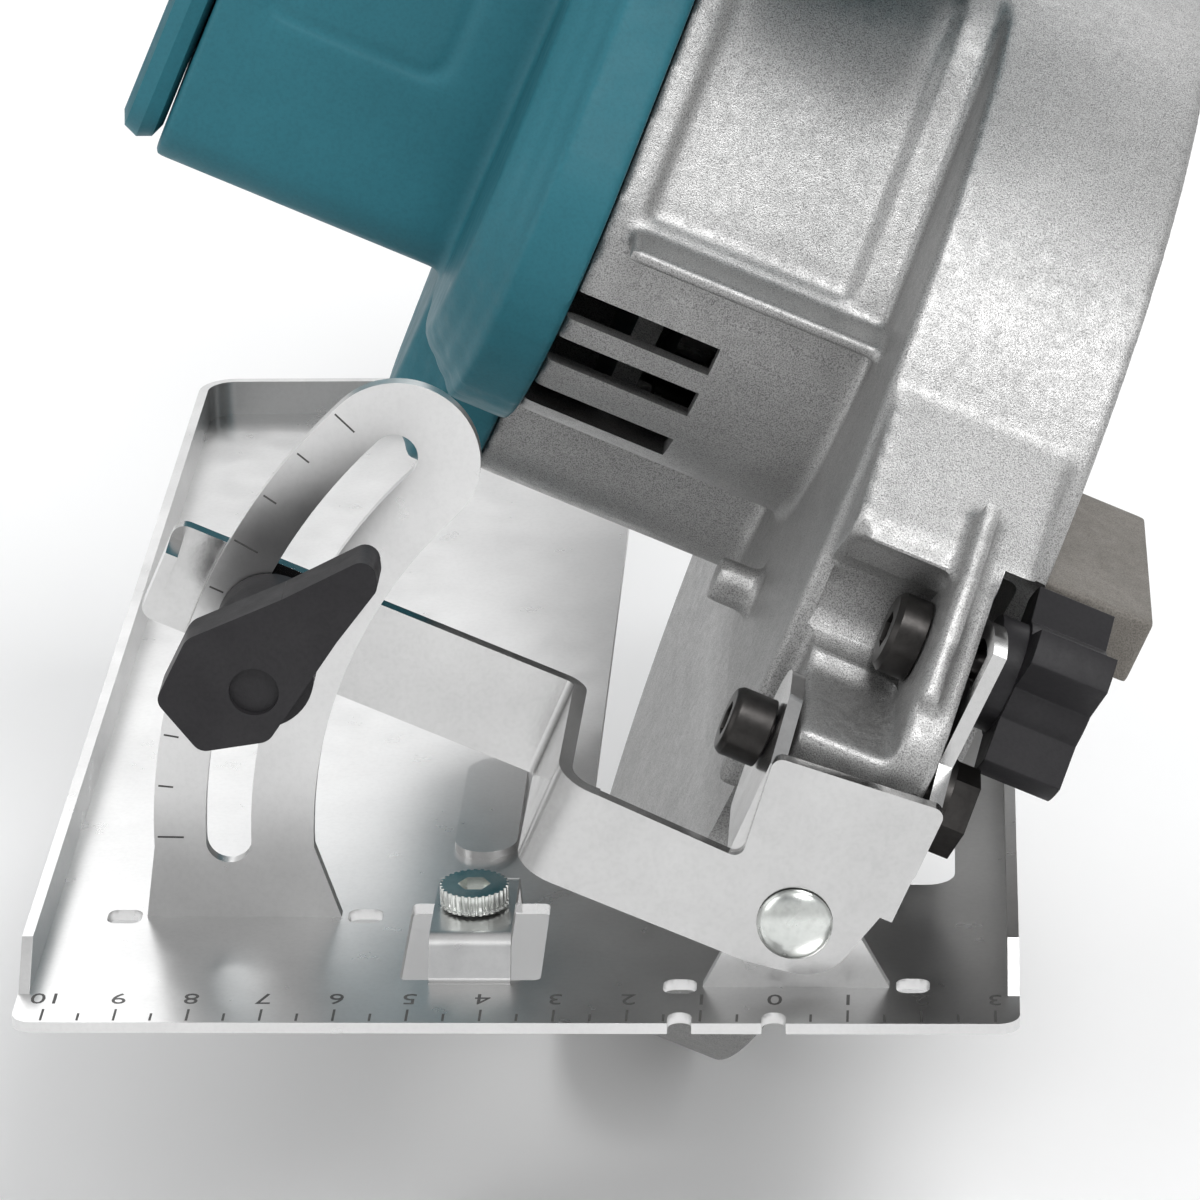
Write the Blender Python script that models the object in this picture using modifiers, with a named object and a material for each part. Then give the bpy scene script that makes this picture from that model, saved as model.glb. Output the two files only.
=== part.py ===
"""Cordless circular saw, 165 mm blade: a bevelling front bracket on a stamped base.

Lengths are millimetres until they reach Blender, through MM.
World frame: origin at the middle of the sole, +X to the saw's blade side, -Y forwards, +Z up.
Pieces above the base are drawn in the bevel frame (a, y, b): a is sideways and b is upwards from
the bevel pivot, and the whole frame leans by BEVEL about the pivot's front-to-back axis.
"""
import bpy
import bmesh
from math import acos, asin, atan2, cos, hypot, pi, radians, sin, tan
from mathutils import Matrix, Vector

MM = 0.001

# Driving dimensions
BASE_W, BASE_L, SHEET = 137.5, 240.0, 1.6
RIM_H = 7.5
PIVOT_X, PIVOT_Z = 38.2, 12.4
BEVEL = radians(24.0)
BLADE_R, BLADE_T, BLADE_A = 82.5, 1.6, -2.8
HINGE = (-96.0, 18.0)
ARBOR = (14.0, 14.6)
MOTOR = (24.0, 57.0)
CASE_R, CASE_LEFT, CASE_RIGHT, CASE_WALL = 93.0, -13.4, 17.7, 2.9
GEAR_LEFT = -56.0
BRACKET_Y, BRACKET_T = -111.0, 2.0
QUADRANT_Y, QUADRANT_T = -86.0, 2.0
QUADRANT_IN, QUADRANT_OUT, SLOT_R, SLOT_HALF = 68.0, 90.5, 80.0, 3.2
CLAMP_BOLT = (-80.0, 1.5)
KNOB = (-83.0, 34.0)
REAR_Y = 110.0
HANDLE_A = -36.0
DEPTH_TRAVEL = 34.0
GUIDE_R, GUIDE_PIN_TURN = 204.0, 1.6
GAP = 0.3

SPAN = hypot(MOTOR[0] - ARBOR[0], MOTOR[1] - ARBOR[1])
IDLER = tuple(s + (m - s) * 22.0 / SPAN for s, m in zip(ARBOR, MOTOR))

ALONG_Z = Matrix.Identity(3)
ALONG_A = Matrix(((0, 0, 1), (1, 0, 0), (0, 1, 0)))
ALONG_Y = Matrix(((1, 0, 0), (0, 0, -1), (0, 1, 0)))


# Scene set-up
for old in list(bpy.data.objects):
    bpy.data.objects.remove(old, do_unlink=True)
saw = bpy.data.collections.new("circular_saw")
tools = bpy.data.collections.new("cutters")
for group in (saw, tools):
    bpy.context.scene.collection.children.link(group)


def material(name, colour, rough, metal):
    made = bpy.data.materials.new(name)
    made.use_nodes = True
    shader = made.node_tree.nodes["Principled BSDF"]
    shader.inputs["Base Color"].default_value = (*colour, 1)
    shader.inputs["Roughness"].default_value = rough
    shader.inputs["Metallic"].default_value = metal
    made.diffuse_color = (*colour, 1)
    return made


PLATED = material("plated_steel", (0.62, 0.62, 0.60), 0.22, 1.0)
CAST = material("cast_aluminium", (0.55, 0.55, 0.54), 0.50, 1.0)
TEAL = material("teal_plastic", (0.03, 0.16, 0.20), 0.45, 0.0)
BLACK = material("black_plastic", (0.02, 0.02, 0.022), 0.50, 0.0)
RUBBER = material("soft_rubber", (0.015, 0.015, 0.016), 0.80, 0.0)
BOLT = material("black_oxide", (0.03, 0.03, 0.03), 0.40, 0.9)
ZINC = material("zinc_rivet", (0.60, 0.62, 0.60), 0.30, 1.0)
STEEL = material("ground_steel", (0.50, 0.50, 0.50), 0.30, 1.0)
DARK_CAST = material("grey_casting", (0.20, 0.19, 0.17), 0.55, 0.8)
COPPER = material("copper_winding", (0.60, 0.25, 0.10), 0.40, 0.9)
BOARD = material("controller_potting", (0.03, 0.06, 0.04), 0.50, 0.0)


# Frames: each empty stands on a joint axis
def frame(name, parent=None, place=(0, 0, 0), turn=0.0):
    empty = bpy.data.objects.new(name, None)
    saw.objects.link(empty)
    empty.parent = parent
    empty.location = Vector(place) * MM
    empty.rotation_euler = (0, turn, 0)
    return empty


BEVEL_AXIS = frame("bevel_axis", place=(PIVOT_X, 0, PIVOT_Z), turn=BEVEL)


def lateral_axis(name, centre):
    return frame(name, BEVEL_AXIS, (0, *centre))


DEPTH_AXIS = lateral_axis("depth_axis", HINGE)
ARBOR_AXIS = lateral_axis("arbor_axis", ARBOR)
MOTOR_AXIS = lateral_axis("motor_axis", MOTOR)
IDLER_AXIS = lateral_axis("idler_axis", IDLER)
KNOB_AXIS = lateral_axis("depth_knob_axis", KNOB)
CLAMP_AXIS = frame("bevel_clamp_axis", BEVEL_AXIS, (CLAMP_BOLT[0], 0, CLAMP_BOLT[1]))


# Modelling helpers
def node(name, mesh, paint, axis=None, group=saw):
    """Link a mesh drawn in its frame's parent coordinates, hung on the empty of its joint."""
    made = bpy.data.objects.new(name, mesh)
    group.objects.link(made)
    if paint:
        mesh.materials.clear()
        mesh.materials.append(paint)
    if axis:
        made.parent = axis
        if axis is not BEVEL_AXIS:
            made.location = -axis.location
    return made


def slab(loops, low, high, along=ALONG_Z):
    """Closed mesh of a flat outline with holes, from low to high along an axis."""
    curve = bpy.data.curves.new("outline", "CURVE")
    curve.dimensions = "2D"
    curve.fill_mode = "BOTH"
    curve.extrude = (high - low) / 2 * MM
    for loop in loops:
        spline = curve.splines.new("POLY")
        spline.points.add(len(loop) - 1)
        for point, (x, y) in zip(spline.points, loop):
            point.co = (x * MM, y * MM, 0, 1)
        spline.use_cyclic_u = True
    guide = bpy.data.objects.new("outline", curve)
    bpy.context.scene.collection.objects.link(guide)
    mesh = bpy.data.meshes.new_from_object(
        guide.evaluated_get(bpy.context.evaluated_depsgraph_get()))
    bpy.data.objects.remove(guide, do_unlink=True)
    sign = -1 if along is ALONG_Y else 1
    lift = Matrix.Translation((0, 0, sign * (low + high) / 2 * MM))
    mesh.transform(along.to_4x4() @ lift)
    shape = bmesh.new()
    shape.from_mesh(mesh)
    bmesh.ops.remove_doubles(shape, verts=shape.verts, dist=1e-6)
    bmesh.ops.recalc_face_normals(shape, faces=shape.faces)
    shape.to_mesh(mesh)
    shape.free()
    return mesh


def bar(low, high):
    """Closed box between two corners."""
    shape = bmesh.new()
    bmesh.ops.create_cube(shape, size=1.0)
    size = [(h - l) * MM for l, h in zip(low, high)]
    middle = [(h + l) / 2 * MM for l, h in zip(low, high)]
    bmesh.ops.scale(shape, vec=size, verts=shape.verts)
    bmesh.ops.translate(shape, vec=middle, verts=shape.verts)
    mesh = bpy.data.meshes.new("bar")
    shape.to_mesh(mesh)
    shape.free()
    return mesh


def circle(centre, radius, steps=20, start=0.0):
    return arc(centre, radius, start, start + 360 - 360 / steps, steps - 1)


def arc(centre, radius, start, end, steps):
    turns = [radians(start + (end - start) * i / steps) for i in range(steps + 1)]
    return [(centre[0] + radius * cos(t), centre[1] + radius * sin(t)) for t in turns]


def hull(first, r1, second, r2, steps=6):
    """Outline of the belt around two circles."""
    dx, dy = second[0] - first[0], second[1] - first[1]
    lean = atan2(dy, dx) * 180 / pi
    open_ = acos((r1 - r2) / hypot(dx, dy)) * 180 / pi
    return (arc(first, r1, lean + open_, lean + 360 - open_, steps)
            + arc(second, r2, lean - open_, lean + open_, steps))


def rounded(corners, steps=3):
    """Polygon whose corners (x, y, radius) are rounded by arcs."""
    points = []
    count = len(corners)
    for i, (x, y, radius) in enumerate(corners):
        here = Vector((x, y))
        if radius <= 0:
            points.append((x, y))
            continue
        back = (Vector(corners[i - 1][:2]) - here).normalized()
        ahead = (Vector(corners[(i + 1) % count][:2]) - here).normalized()
        half = back.angle(ahead) / 2
        centre = here + (back + ahead).normalized() * radius / sin(half)
        begin = here + back * radius / tan(half) - centre
        finish = here + ahead * radius / tan(half) - centre
        sweep = atan2(begin.x * finish.y - begin.y * finish.x, begin.dot(finish))
        start = atan2(begin.y, begin.x)
        for k in range(steps + 1):
            turn = start + sweep * k / steps
            points.append((centre.x + radius * cos(turn), centre.y + radius * sin(turn)))
    return points


def box_loop(x0, x1, y0, y1, radius=0.0):
    return rounded([(x0, y0, radius), (x1, y0, radius), (x1, y1, radius), (x0, y1, radius)])


def disc(centre, radius, low, high, hole=0.0, steps=20, along=ALONG_A):
    loops = [circle(centre, radius, steps)]
    if hole:
        loops.append(circle(centre, hole, max(12, steps // 2)))
    return slab(loops, low, high, along)


def change(target, mesh, operation):
    """Boolean with a hidden wire guide that hangs on the target's own frame."""
    guide = node(target.name + "_guide", mesh, None, target.parent, tools)
    guide.location = target.location
    guide.hide_render = True
    guide.display_type = "WIRE"
    step = target.modifiers.new(operation.lower(), "BOOLEAN")
    step.operation = operation
    step.object = guide
    return target


def cut(target, *meshes):
    for mesh in meshes:
        change(target, mesh, "DIFFERENCE")


def add(target, *meshes):
    for mesh in meshes:
        change(target, mesh, "UNION")


def turned(name, profile, centre, paint, axis, steps=20):
    """Solid of revolution about a sideways line; profile is (radius, a), from high a to low a."""
    mesh = bpy.data.meshes.new(name)
    points = [(radius * MM, 0, a * MM) for radius, a in profile]
    edges = [(i, i + 1) for i in range(len(points) - 1)]
    mesh.from_pydata(points, edges, [])
    made = node(name, mesh, paint, axis)
    made.matrix_local = (Matrix.Translation(made.location + Vector((0, *centre)) * MM)
                         @ ALONG_A.to_4x4())
    spin = made.modifiers.new("turn", "SCREW")
    spin.steps = spin.render_steps = steps
    spin.use_merge_vertices = True
    spin.merge_threshold = 0.00001
    return made


def gear_loop(centre, teeth, tip, root, start=0.0):
    points = []
    pitch = 360 / teeth
    for i in range(teeth):
        for share, radius in ((0.0, root), (0.28, root), (0.42, tip), (0.86, tip)):
            points.append(arc(centre, radius, start + pitch * (i + share), 0, 1)[0])
    return points


def soften(made, width, segments=2):
    step = made.modifiers.new("soften", "BEVEL")
    step.width = width * MM
    step.segments = segments
    step.limit_method = "ANGLE"


# Base
def quadrant_point(radius, degrees):
    """Point of the bevel quadrant, degrees up from the pivot's level on the motor side."""
    return (PIVOT_X - radius * cos(radians(degrees)), PIVOT_Z + radius * sin(radians(degrees)))


def quadrant_loops():
    middle = (QUADRANT_IN + QUADRANT_OUT) / 2
    half = (QUADRANT_OUT - QUADRANT_IN) / 2
    top = 47.0
    outer = [(-54.0, 0.6)]
    outer += [quadrant_point(QUADRANT_OUT, top * i / 10) for i in range(11)]
    outer += arc(quadrant_point(middle, top), half, 180 - top, -top, 8)[1:-1]
    outer += [quadrant_point(QUADRANT_IN, top * (1 - i / 8)) for i in range(9)]
    outer += [(-26.0, 0.6)]
    low, high = 0.6, 47.0
    slot = [quadrant_point(SLOT_R + SLOT_HALF, low + (high - low) * i / 8) for i in range(9)]
    slot += arc(quadrant_point(SLOT_R, high), SLOT_HALF, 180 - high, -high, 6)[1:-1]
    slot += [quadrant_point(SLOT_R - SLOT_HALF, high - (high - low) * i / 8) for i in range(9)]
    slot += arc(quadrant_point(SLOT_R, low), SLOT_HALF, -low, -180 - low, 6)[1:-1]
    return [outer, slot]


def pivot_plate_loops():
    top = arc((PIVOT_X, PIVOT_Z), 8.0, -10, 190, 10)
    return [[(51.5, 0.6), *top, (24.9, 0.6)][::-1], circle((PIVOT_X, PIVOT_Z), 3.4, 16)]


def make_base():
    half_w, half_l = BASE_W / 2, BASE_L / 2
    corner = 6.0
    front = [(-half_w, -half_l, corner)]
    for notch in (22.6, 35.4):
        front += [(notch - 1.65, -half_l, 0), (notch - 1.65, -half_l + 3.4, 1.6),
                  (notch + 1.65, -half_l + 3.4, 1.6), (notch + 1.65, -half_l, 0)]
    front += [(half_w, -half_l, corner), (half_w, half_l, corner), (-half_w, half_l, corner)]
    loops = [rounded(front), box_loop(7, 60, -75, 104, 4), box_loop(-16.5, 3, -106.5, -81.5, 1)]
    for x0, x1, y0 in ((-59.5, -54.6, -88.2), (-25.4, -20.5, -87.9), (20.0, 24.6, -110.7),
                       (51.9, 56.5, -110.4), (20.0, 24.6, 109.1), (51.9, 56.5, 109.4)):
        loops.append(box_loop(x0, x1, y0, y0 + 4.5, 1.5))
    base = node("base_plate", slab(loops, 0, SHEET), PLATED)
    rim_w, rim_l = half_w - 0.05, half_l - 0.05
    outside = rounded([(-rim_w, -113, 0), (-rim_w, rim_l, corner), (rim_w, rim_l, corner),
                       (rim_w, -113, 0)])
    inner_w, inner_l = half_w - SHEET, half_l - SHEET
    inside = rounded([(inner_w, -113, 0), (inner_w, inner_l, corner - SHEET),
                      (-inner_w, inner_l, corner - SHEET), (-inner_w, -113, 0)])
    strap = [(-108, 0.2), (-106.4, 0.2), (-103.2, 5.6), (-84.8, 5.6), (-81.6, 0.2), (-80, 0.2),
             (-80, 1.8), (-80.8, 1.8), (-84.0, 7.2), (-104.0, 7.2), (-107.2, 1.8), (-108, 1.8)]
    add(base, slab([outside + inside], 0.4, RIM_H),
        slab(quadrant_loops(), QUADRANT_Y, QUADRANT_Y + QUADRANT_T, ALONG_Y),
        slab(pivot_plate_loops(), -108.6, -106.8, ALONG_Y),
        slab(pivot_plate_loops(), REAR_Y, REAR_Y + 1.8, ALONG_Y),
        slab([strap], -12.4, -1.1, ALONG_A),
        slab([hull((-7.5, -62), 4.5, (-7.5, -37), 4.5, 6)], 1.0, 2.8))
    cut(base, slab([circle((-6.75, -94), 2.6, 12)], 4, 9))


def make_fence_screw():
    axis = frame("fence_screw_axis", place=(-6.75, -94, 0))
    head = slab([gear_loop((-6.75, -94), 12, 4.8, 4.4)], 7.6, 10.6)
    screw = node("fence_clamp_screw", head, ZINC, axis)
    add(screw, slab([circle((-6.75, -94), 2.2, 12)], 5.5, 8.0))
    cut(screw, slab([circle((-6.75, -94), 2.3, 6)], 9.0, 13.0))


# Bevel carriage
def make_bracket():
    front = BRACKET_Y + BRACKET_T
    outline = rounded([(-38, -8, 0), (-4, -8, 3), (7.2, -6.4, 7), (12.2, 13, 2), (12.2, 23.5, 1.5),
                       (-12.2, 21.5, 1.5), (-10.4, 5.8, 1.5), (-38, 6.8, 0)])
    bracket = node("front_bracket", slab([outline, circle((0, 0), 3.4, 16)],
                                         BRACKET_Y, front, ALONG_Y), PLATED, BEVEL_AXIS)
    arm = rounded([(-36, -5.8, 0), (-36, 9.2, 0), (-97.5, 9.2, 2), (-97.5, -5.8, 2)])
    arm_loops = [arm[::-1], circle(CLAMP_BOLT, 3.4, 16)]
    ear = rounded([(front - 1, 5, 0), (-93, 5, 4), (-86.5, 12, 5), (-87, 27, 6), (-99, 26, 4),
                   (front - 1, 20, 0)])
    hinge_hole = circle(HINGE, 3.5, 16)
    knob_r = hypot(KNOB[0] - HINGE[0], KNOB[1] - HINGE[1])
    knob_turn = atan2(KNOB[1] - HINGE[1], KNOB[0] - HINGE[0]) * 180 / pi
    first, last = knob_turn - 9, knob_turn + DEPTH_TRAVEL + 9
    sector = arc(HINGE, knob_r + 5.4, last + 8, first - 4, 9) + [(-88.0, 9.0), (-99.0, 7.0)]
    slot = arc(HINGE, knob_r + 2.9, first, last, 8) + arc(HINGE, knob_r - 2.9, last, first, 8)
    add(bracket, bar((-38, BRACKET_Y + 0.4, -8), (-36, -81.5, 7.5)),
        slab(arm_loops, -83.5, -81.5, ALONG_Y),
        bar((-97.5, -90, -2), (-95.7, -82, 7)),
        slab([ear, hinge_hole], -12.2, -10.2, ALONG_A),
        slab([ear, hinge_hole], 10.2, 12.2, ALONG_A),
        slab([sector[::-1], hinge_hole], 10.2, 12.2, ALONG_A))
    cut(bracket, slab([slot], 9.8, 12.8, ALONG_A), disc(HINGE, 3.5, 9.8, 12.8, steps=16))


def make_rivet(name, head_y, outward, long):
    """Rivet along the bevel pivot: a domed head, a shank and a closed end."""
    shape = bmesh.new()
    bmesh.ops.create_uvsphere(shape, u_segments=14, v_segments=8, radius=5.2 * MM)
    bmesh.ops.scale(shape, vec=(1, 0.42, 1), verts=shape.verts)
    bmesh.ops.bisect_plane(shape, geom=shape.verts[:] + shape.edges[:] + shape.faces[:],
                           plane_co=(0, 0, 0), plane_no=(0, -outward, 0), clear_outer=True)
    bmesh.ops.holes_fill(shape, edges=[e for e in shape.edges if e.is_boundary])
    bmesh.ops.translate(shape, vec=(0, head_y * MM, 0), verts=shape.verts)
    bmesh.ops.recalc_face_normals(shape, faces=shape.faces)
    mesh = bpy.data.meshes.new(name)
    shape.to_mesh(mesh)
    shape.free()
    rivet = node(name, mesh, ZINC, BEVEL_AXIS)
    ends = sorted((head_y + outward * 0.2, head_y - outward * long))
    tail = sorted((head_y - outward * long, head_y - outward * (long + 1.6)))
    add(rivet, slab([circle((0, 0), 3.0, 16)], *ends, ALONG_Y),
        slab([circle((0, 0), 4.6, 16)], *tail, ALONG_Y))


def make_carriage():
    make_bracket()
    make_rivet("front_pivot_rivet", BRACKET_Y - GAP, -1, 4.9)
    make_rivet("rear_pivot_rivet", REAR_Y + 4.4, 1, 4.9)
    turned("depth_hinge_bolt", [(0, 16.4), (3.0, 16.4), (3.0, -12.5), (4.9, -12.5), (4.9, -17.6),
                                (4.3, -18.4), (2.4, -18.4), (2.4, -15.5), (0, -15.5)],
           HINGE, BOLT, BEVEL_AXIS)
    node("depth_hinge_nut", slab([circle(HINGE, 6.6, 6), circle(HINGE, 3.3, 16)], 12.5, 17.2,
                                 ALONG_A), BOLT, BEVEL_AXIS)
    low, high = -2.0, DEPTH_TRAVEL + 3.4
    arc_loop = arc(HINGE, GUIDE_R + 6, low, high, 12) + arc(HINGE, GUIDE_R - 6, high, low, 12)
    slot = (arc(HINGE, GUIDE_R + 2.7, 0.4, high - 1.4, 10)
            + arc(HINGE, GUIDE_R - 2.7, high - 1.4, 0.4, 10))
    rear = node("rear_depth_guide", slab([arc_loop, slot[::-1]], -19.0, -17.2, ALONG_A), PLATED,
                BEVEL_AXIS)
    foot = rounded([(-19, -8, 0), (8, -8, 7.5), (8, 8, 7.5), (-19, 16, 0)])
    add(rear, slab([foot, circle((0, 0), 3.4, 16)], REAR_Y + 2.1, REAR_Y + 4.1, ALONG_Y))
    clamp = node("bevel_clamp_bolt", slab([circle(CLAMP_BOLT, 2.8, 16)], -94.0, -79.0, ALONG_Y),
                 BOLT, BEVEL_AXIS)
    add(clamp, slab([circle(CLAMP_BOLT, 5.6, 6)], -81.2, -77.4, ALONG_Y))


def make_bevel_lever():
    x, z = CLAMP_BOLT
    wings = rounded([(x - 11.7, z - 6.7, 2), (x - 3.5, z - 11.2, 2), (x + 4.5, z - 6, 2.5),
                     (x + 7.6, z + 11.3, 4), (x + 9.8, z + 20.5, 2), (x + 7.4, z + 25, 2),
                     (x - 1.5, z + 14, 5), (x - 11.2, z + 3.4, 3)])
    lever = node("bevel_clamp_lever", slab([wings], -110.4, -103.6, ALONG_Y), BLACK, CLAMP_AXIS)
    add(lever, slab([circle((x, z), 7.6, 20)], -105.0, -86.4, ALONG_Y))
    cut(lever, slab([circle((x, z), 3.1, 16)], -94.4, -86.0, ALONG_Y))


# Saw body
SHROUD = ((-10.0, 50.0), 31.0)
HEAD = ((2.0, 80.0), 27.0)


def gear_case_shells(shrink, low, high):
    """The three overlapping belts that make the gear case, shrunk by a wall."""
    arbor = (ARBOR, 17.0 - shrink)
    motor = (MOTOR, 34.0 - shrink)
    shroud = (SHROUD[0], SHROUD[1] - shrink)
    head = (HEAD[0], HEAD[1] - shrink)
    return [slab([hull(*one, *two)], low, high, ALONG_A)
            for one, two in ((shroud, motor), (shroud, head), (motor, head), (motor, arbor))]


def make_blade_case():
    skirt = (1.0 - ARBOR[1]) / CASE_R
    low = asin(skirt) * 180 / pi
    outline = arc(ARBOR, CASE_R, low, 180 - low, 32)
    case = node("blade_case", slab([outline], CASE_LEFT, CASE_RIGHT, ALONG_A), CAST, DEPTH_AXIS)
    nose = rounded([(-105.4, 8.6, 9), (-105.4, 27.4, 9), (-88, 45, 6), (-66, 62, 0), (-50, 50, 0),
                    (-50, 3, 0), (-82, 3, 5)])
    add(case, slab([nose[::-1]], -9.6, 9.6, ALONG_A))
    add(case, *gear_case_shells(0.0, GEAR_LEFT, CASE_LEFT + 1))
    inner = CASE_R - CASE_WALL
    hollow = arc(ARBOR, inner, 0, 180, 28) + [(ARBOR[0] - inner, -6), (ARBOR[0] + inner, -6)]
    cut(case, slab([hollow], CASE_LEFT + 3.0, CASE_RIGHT - CASE_WALL, ALONG_A))
    cut(case, *gear_case_shells(3.0, GEAR_LEFT - 1, -20.8))
    cut(case, disc(ARBOR, 13.3, -21.5, -13.2), disc(ARBOR, 7.2, -14, -9, steps=20),
        bar((14.0, -70, -4), (20, 112, 8.0)), disc(ARBOR, 27, 14, 20),
        disc(HINGE, 27.5, 9.8, 20), disc(KNOB, 14.8, 9.8, 21),
        disc(HINGE, 3.4, -11, 11, steps=16), disc(KNOB, 7.4, -11, 3.4, steps=20),
        disc(KNOB, 2.9, 2, 11, steps=16),
        slab([rounded([(-112, 24.5, 0), (-84, 24.5, 4), (-78, 30, 4), (-78, 39, 4), (-84, 46, 4),
                       (-112, 46, 0)])], -11.0, 3.4, ALONG_A))
    for b, front in ((48.0, -44.0), (40.0, -44.0), (30.0, -42.0)):
        cut(case, bar((-57, front, b - 4.6), (-34, front + 14, b)))


def make_motor_housing():
    half = 29.0
    y, b = MOTOR
    body = node("motor_housing", slab([box_loop(y - half, y + half, b - half, b + half, 8)],
                                      -119.0, -70.0, ALONG_A), TEAL, DEPTH_AXIS)
    add(body, *gear_case_shells(-2.5, -72.5, GEAR_LEFT - GAP))
    cut(body, disc(MOTOR, 26.6, -114, -60, steps=32), disc(MOTOR, 9.0, -120, -112, steps=20))
    cut(body, *gear_case_shells(3.0, -69.5, GEAR_LEFT + 1))
    half -= 1.0
    cap = node("motor_end_cap", slab([box_loop(y - half, y + half, b - half, b + half, 8)],
                                     -125.5, -119.3, ALONG_A), TEAL, DEPTH_AXIS)
    soften(cap, 2.0)
    for name, dy, db in (("end_cap_screw_front", -23, 0), ("end_cap_screw_rear", 23, 0)):
        turned(name, [(0, -125.9), (3.4, -125.9), (3.4, -127.4), (2.2, -128.2), (0, -128.2)],
               (y + dy, b + db), BOLT, DEPTH_AXIS, 12)


def handle_loops(inset=0.0):
    i = inset
    outer = rounded([(-44 + i, 111 + i, 3), (61 + i * 0.5, 111 + i, 2), (66 + i, 50 + i, 4),
                     (120 - i, 46 + i, 4), (128 - i, 54, 4), (128 - i, 118, 14),
                     (108 - i, 152 - i, 22), (50, 176 - i, 30), (0, 176 - i, 14),
                     (-28, 166 - i, 12), (-50 + i, 150 - i, 10), (-50 + i, 128, 10)])
    hole = rounded([(4 - i, 121 - i, 5), (6 - i, 143 + i, 8), (30, 147 + i, 8), (78, 138 + i, 10),
                    (98 + i, 120, 8), (84, 108 - i, 6), (66 + i, 116 - i, 6)])
    return [outer, hole]


def make_handle():
    outer, hole = handle_loops()
    inner_outer, inner_hole = handle_loops(2.6)
    for name, low, high, wall in (("handle_right", HANDLE_A + 0.15, HANDLE_A + 16, 1),
                                  ("handle_left", HANDLE_A - 16, HANDLE_A - 0.15, -1)):
        half = node(name, slab([outer, hole], low, high, ALONG_A), TEAL, DEPTH_AXIS)
        inside = (low - 1, high - 2.6) if wall > 0 else (low + 2.6, high + 1)
        cut(half, slab([inner_outer, inner_hole], *inside, ALONG_A))
        cut(half, bar((HANDLE_A - 5.2, 3, 134), (HANDLE_A + 5.2, 24, 150)))
    cut(bpy.data.objects["handle_left"], disc((6, 158), 5.2, HANDLE_A - 18, HANDLE_A - 8, steps=16))


def make_inside():
    """Motor, bearings and electrics that stay still in the saw body."""
    y, b = MOTOR
    node("motor_stator", disc(MOTOR, 26.2, -100, -62, 16.2, 28), COPPER, DEPTH_AXIS)
    plate = node("bearing_plate", slab([hull(MOTOR, 30.2, ARBOR, 13.4)], -43.0, -39.0, ALONG_A),
                 CAST, DEPTH_AXIS)
    cut(plate, disc(MOTOR, 5.0, -46, -36, steps=16), disc(MOTOR, 11.3, -44, -40.6, steps=20))
    for name, centre, radius, hole, low, high in (
            ("spindle_bearing", ARBOR, 13.0, 6.3, -20.5, -13.5),
            ("spindle_rear_bearing", ARBOR, 6.0, 3.4, -38.6, -35.4),
            ("idler_bearing", IDLER, 6.0, 3.0, -38.7, -36.2),
            ("motor_front_bearing", MOTOR, 11.0, 4.3, -45.0, -41.0),
            ("motor_rear_bearing", MOTOR, 8.7, 4.3, -118.7, -112.0)):
        node(name, disc(centre, radius, low, high, hole, 20), STEEL, DEPTH_AXIS)
    node("trigger_switch", bar((HANDLE_A - 9, 26, 151), (HANDLE_A + 9, 52, 168)), BLACK, DEPTH_AXIS)
    node("motor_controller", bar((HANDLE_A - 12, 72, 56), (HANDLE_A + 12, 100, 96)), BOARD,
         DEPTH_AXIS)
    node("battery_terminal", bar((HANDLE_A - 12, 104, 62), (HANDLE_A + 12, 124, 84)), BLACK,
         DEPTH_AXIS)
    deflector = node("chip_deflector", bar((18.0, -67.6, 34), (35.0, -26, 44)), DARK_CAST, DEPTH_AXIS)
    soften(deflector, 1.6)
    turned("depth_clamp_bolt", [(0, 24.0), (2.5, 24.0), (2.5, 3.1), (5.8, 3.1), (5.8, -0.8),
                                (5.0, -1.6), (2.4, -1.6), (2.4, 1.0), (0, 1.0)],
           KNOB, BOLT, DEPTH_AXIS, 16)
    turned("guide_pin", [(0, -14.0), (2.3, -14.0), (2.3, -19.4), (4.6, -19.4), (4.6, -22.0),
                         (0, -22.0)],
           arc(HINGE, GUIDE_R, GUIDE_PIN_TURN, 90, 1)[0], STEEL, DEPTH_AXIS, 16)
    for name, centre in (("handle_screw_front", (-36, 140)), ("handle_screw_top", (60, 156)),
                         ("handle_screw_rear", (112, 100))):
        turned(name, [(0, HANDLE_A + 17.6), (3.0, HANDLE_A + 17.6), (3.0, HANDLE_A + 16.3),
                      (0, HANDLE_A + 16.3)], centre, BOLT, DEPTH_AXIS, 12)


def make_knob():
    lobes = []
    for i in range(4):
        lobes += arc(KNOB, 14.0, 90 * i + 34, 90 * i + 56, 3)
        lobes += arc(KNOB, 8.6, 90 * i + 74, 90 * i + 106, 4)
    knob = node("depth_clamp_knob", slab([lobes], 16.6, 28.0, ALONG_A), BLACK, KNOB_AXIS)
    add(knob, disc(KNOB, 8.0, 12.6, 17.0, steps=20))
    cut(knob, disc(KNOB, 2.8, 12, 24.4, steps=16))


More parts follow.
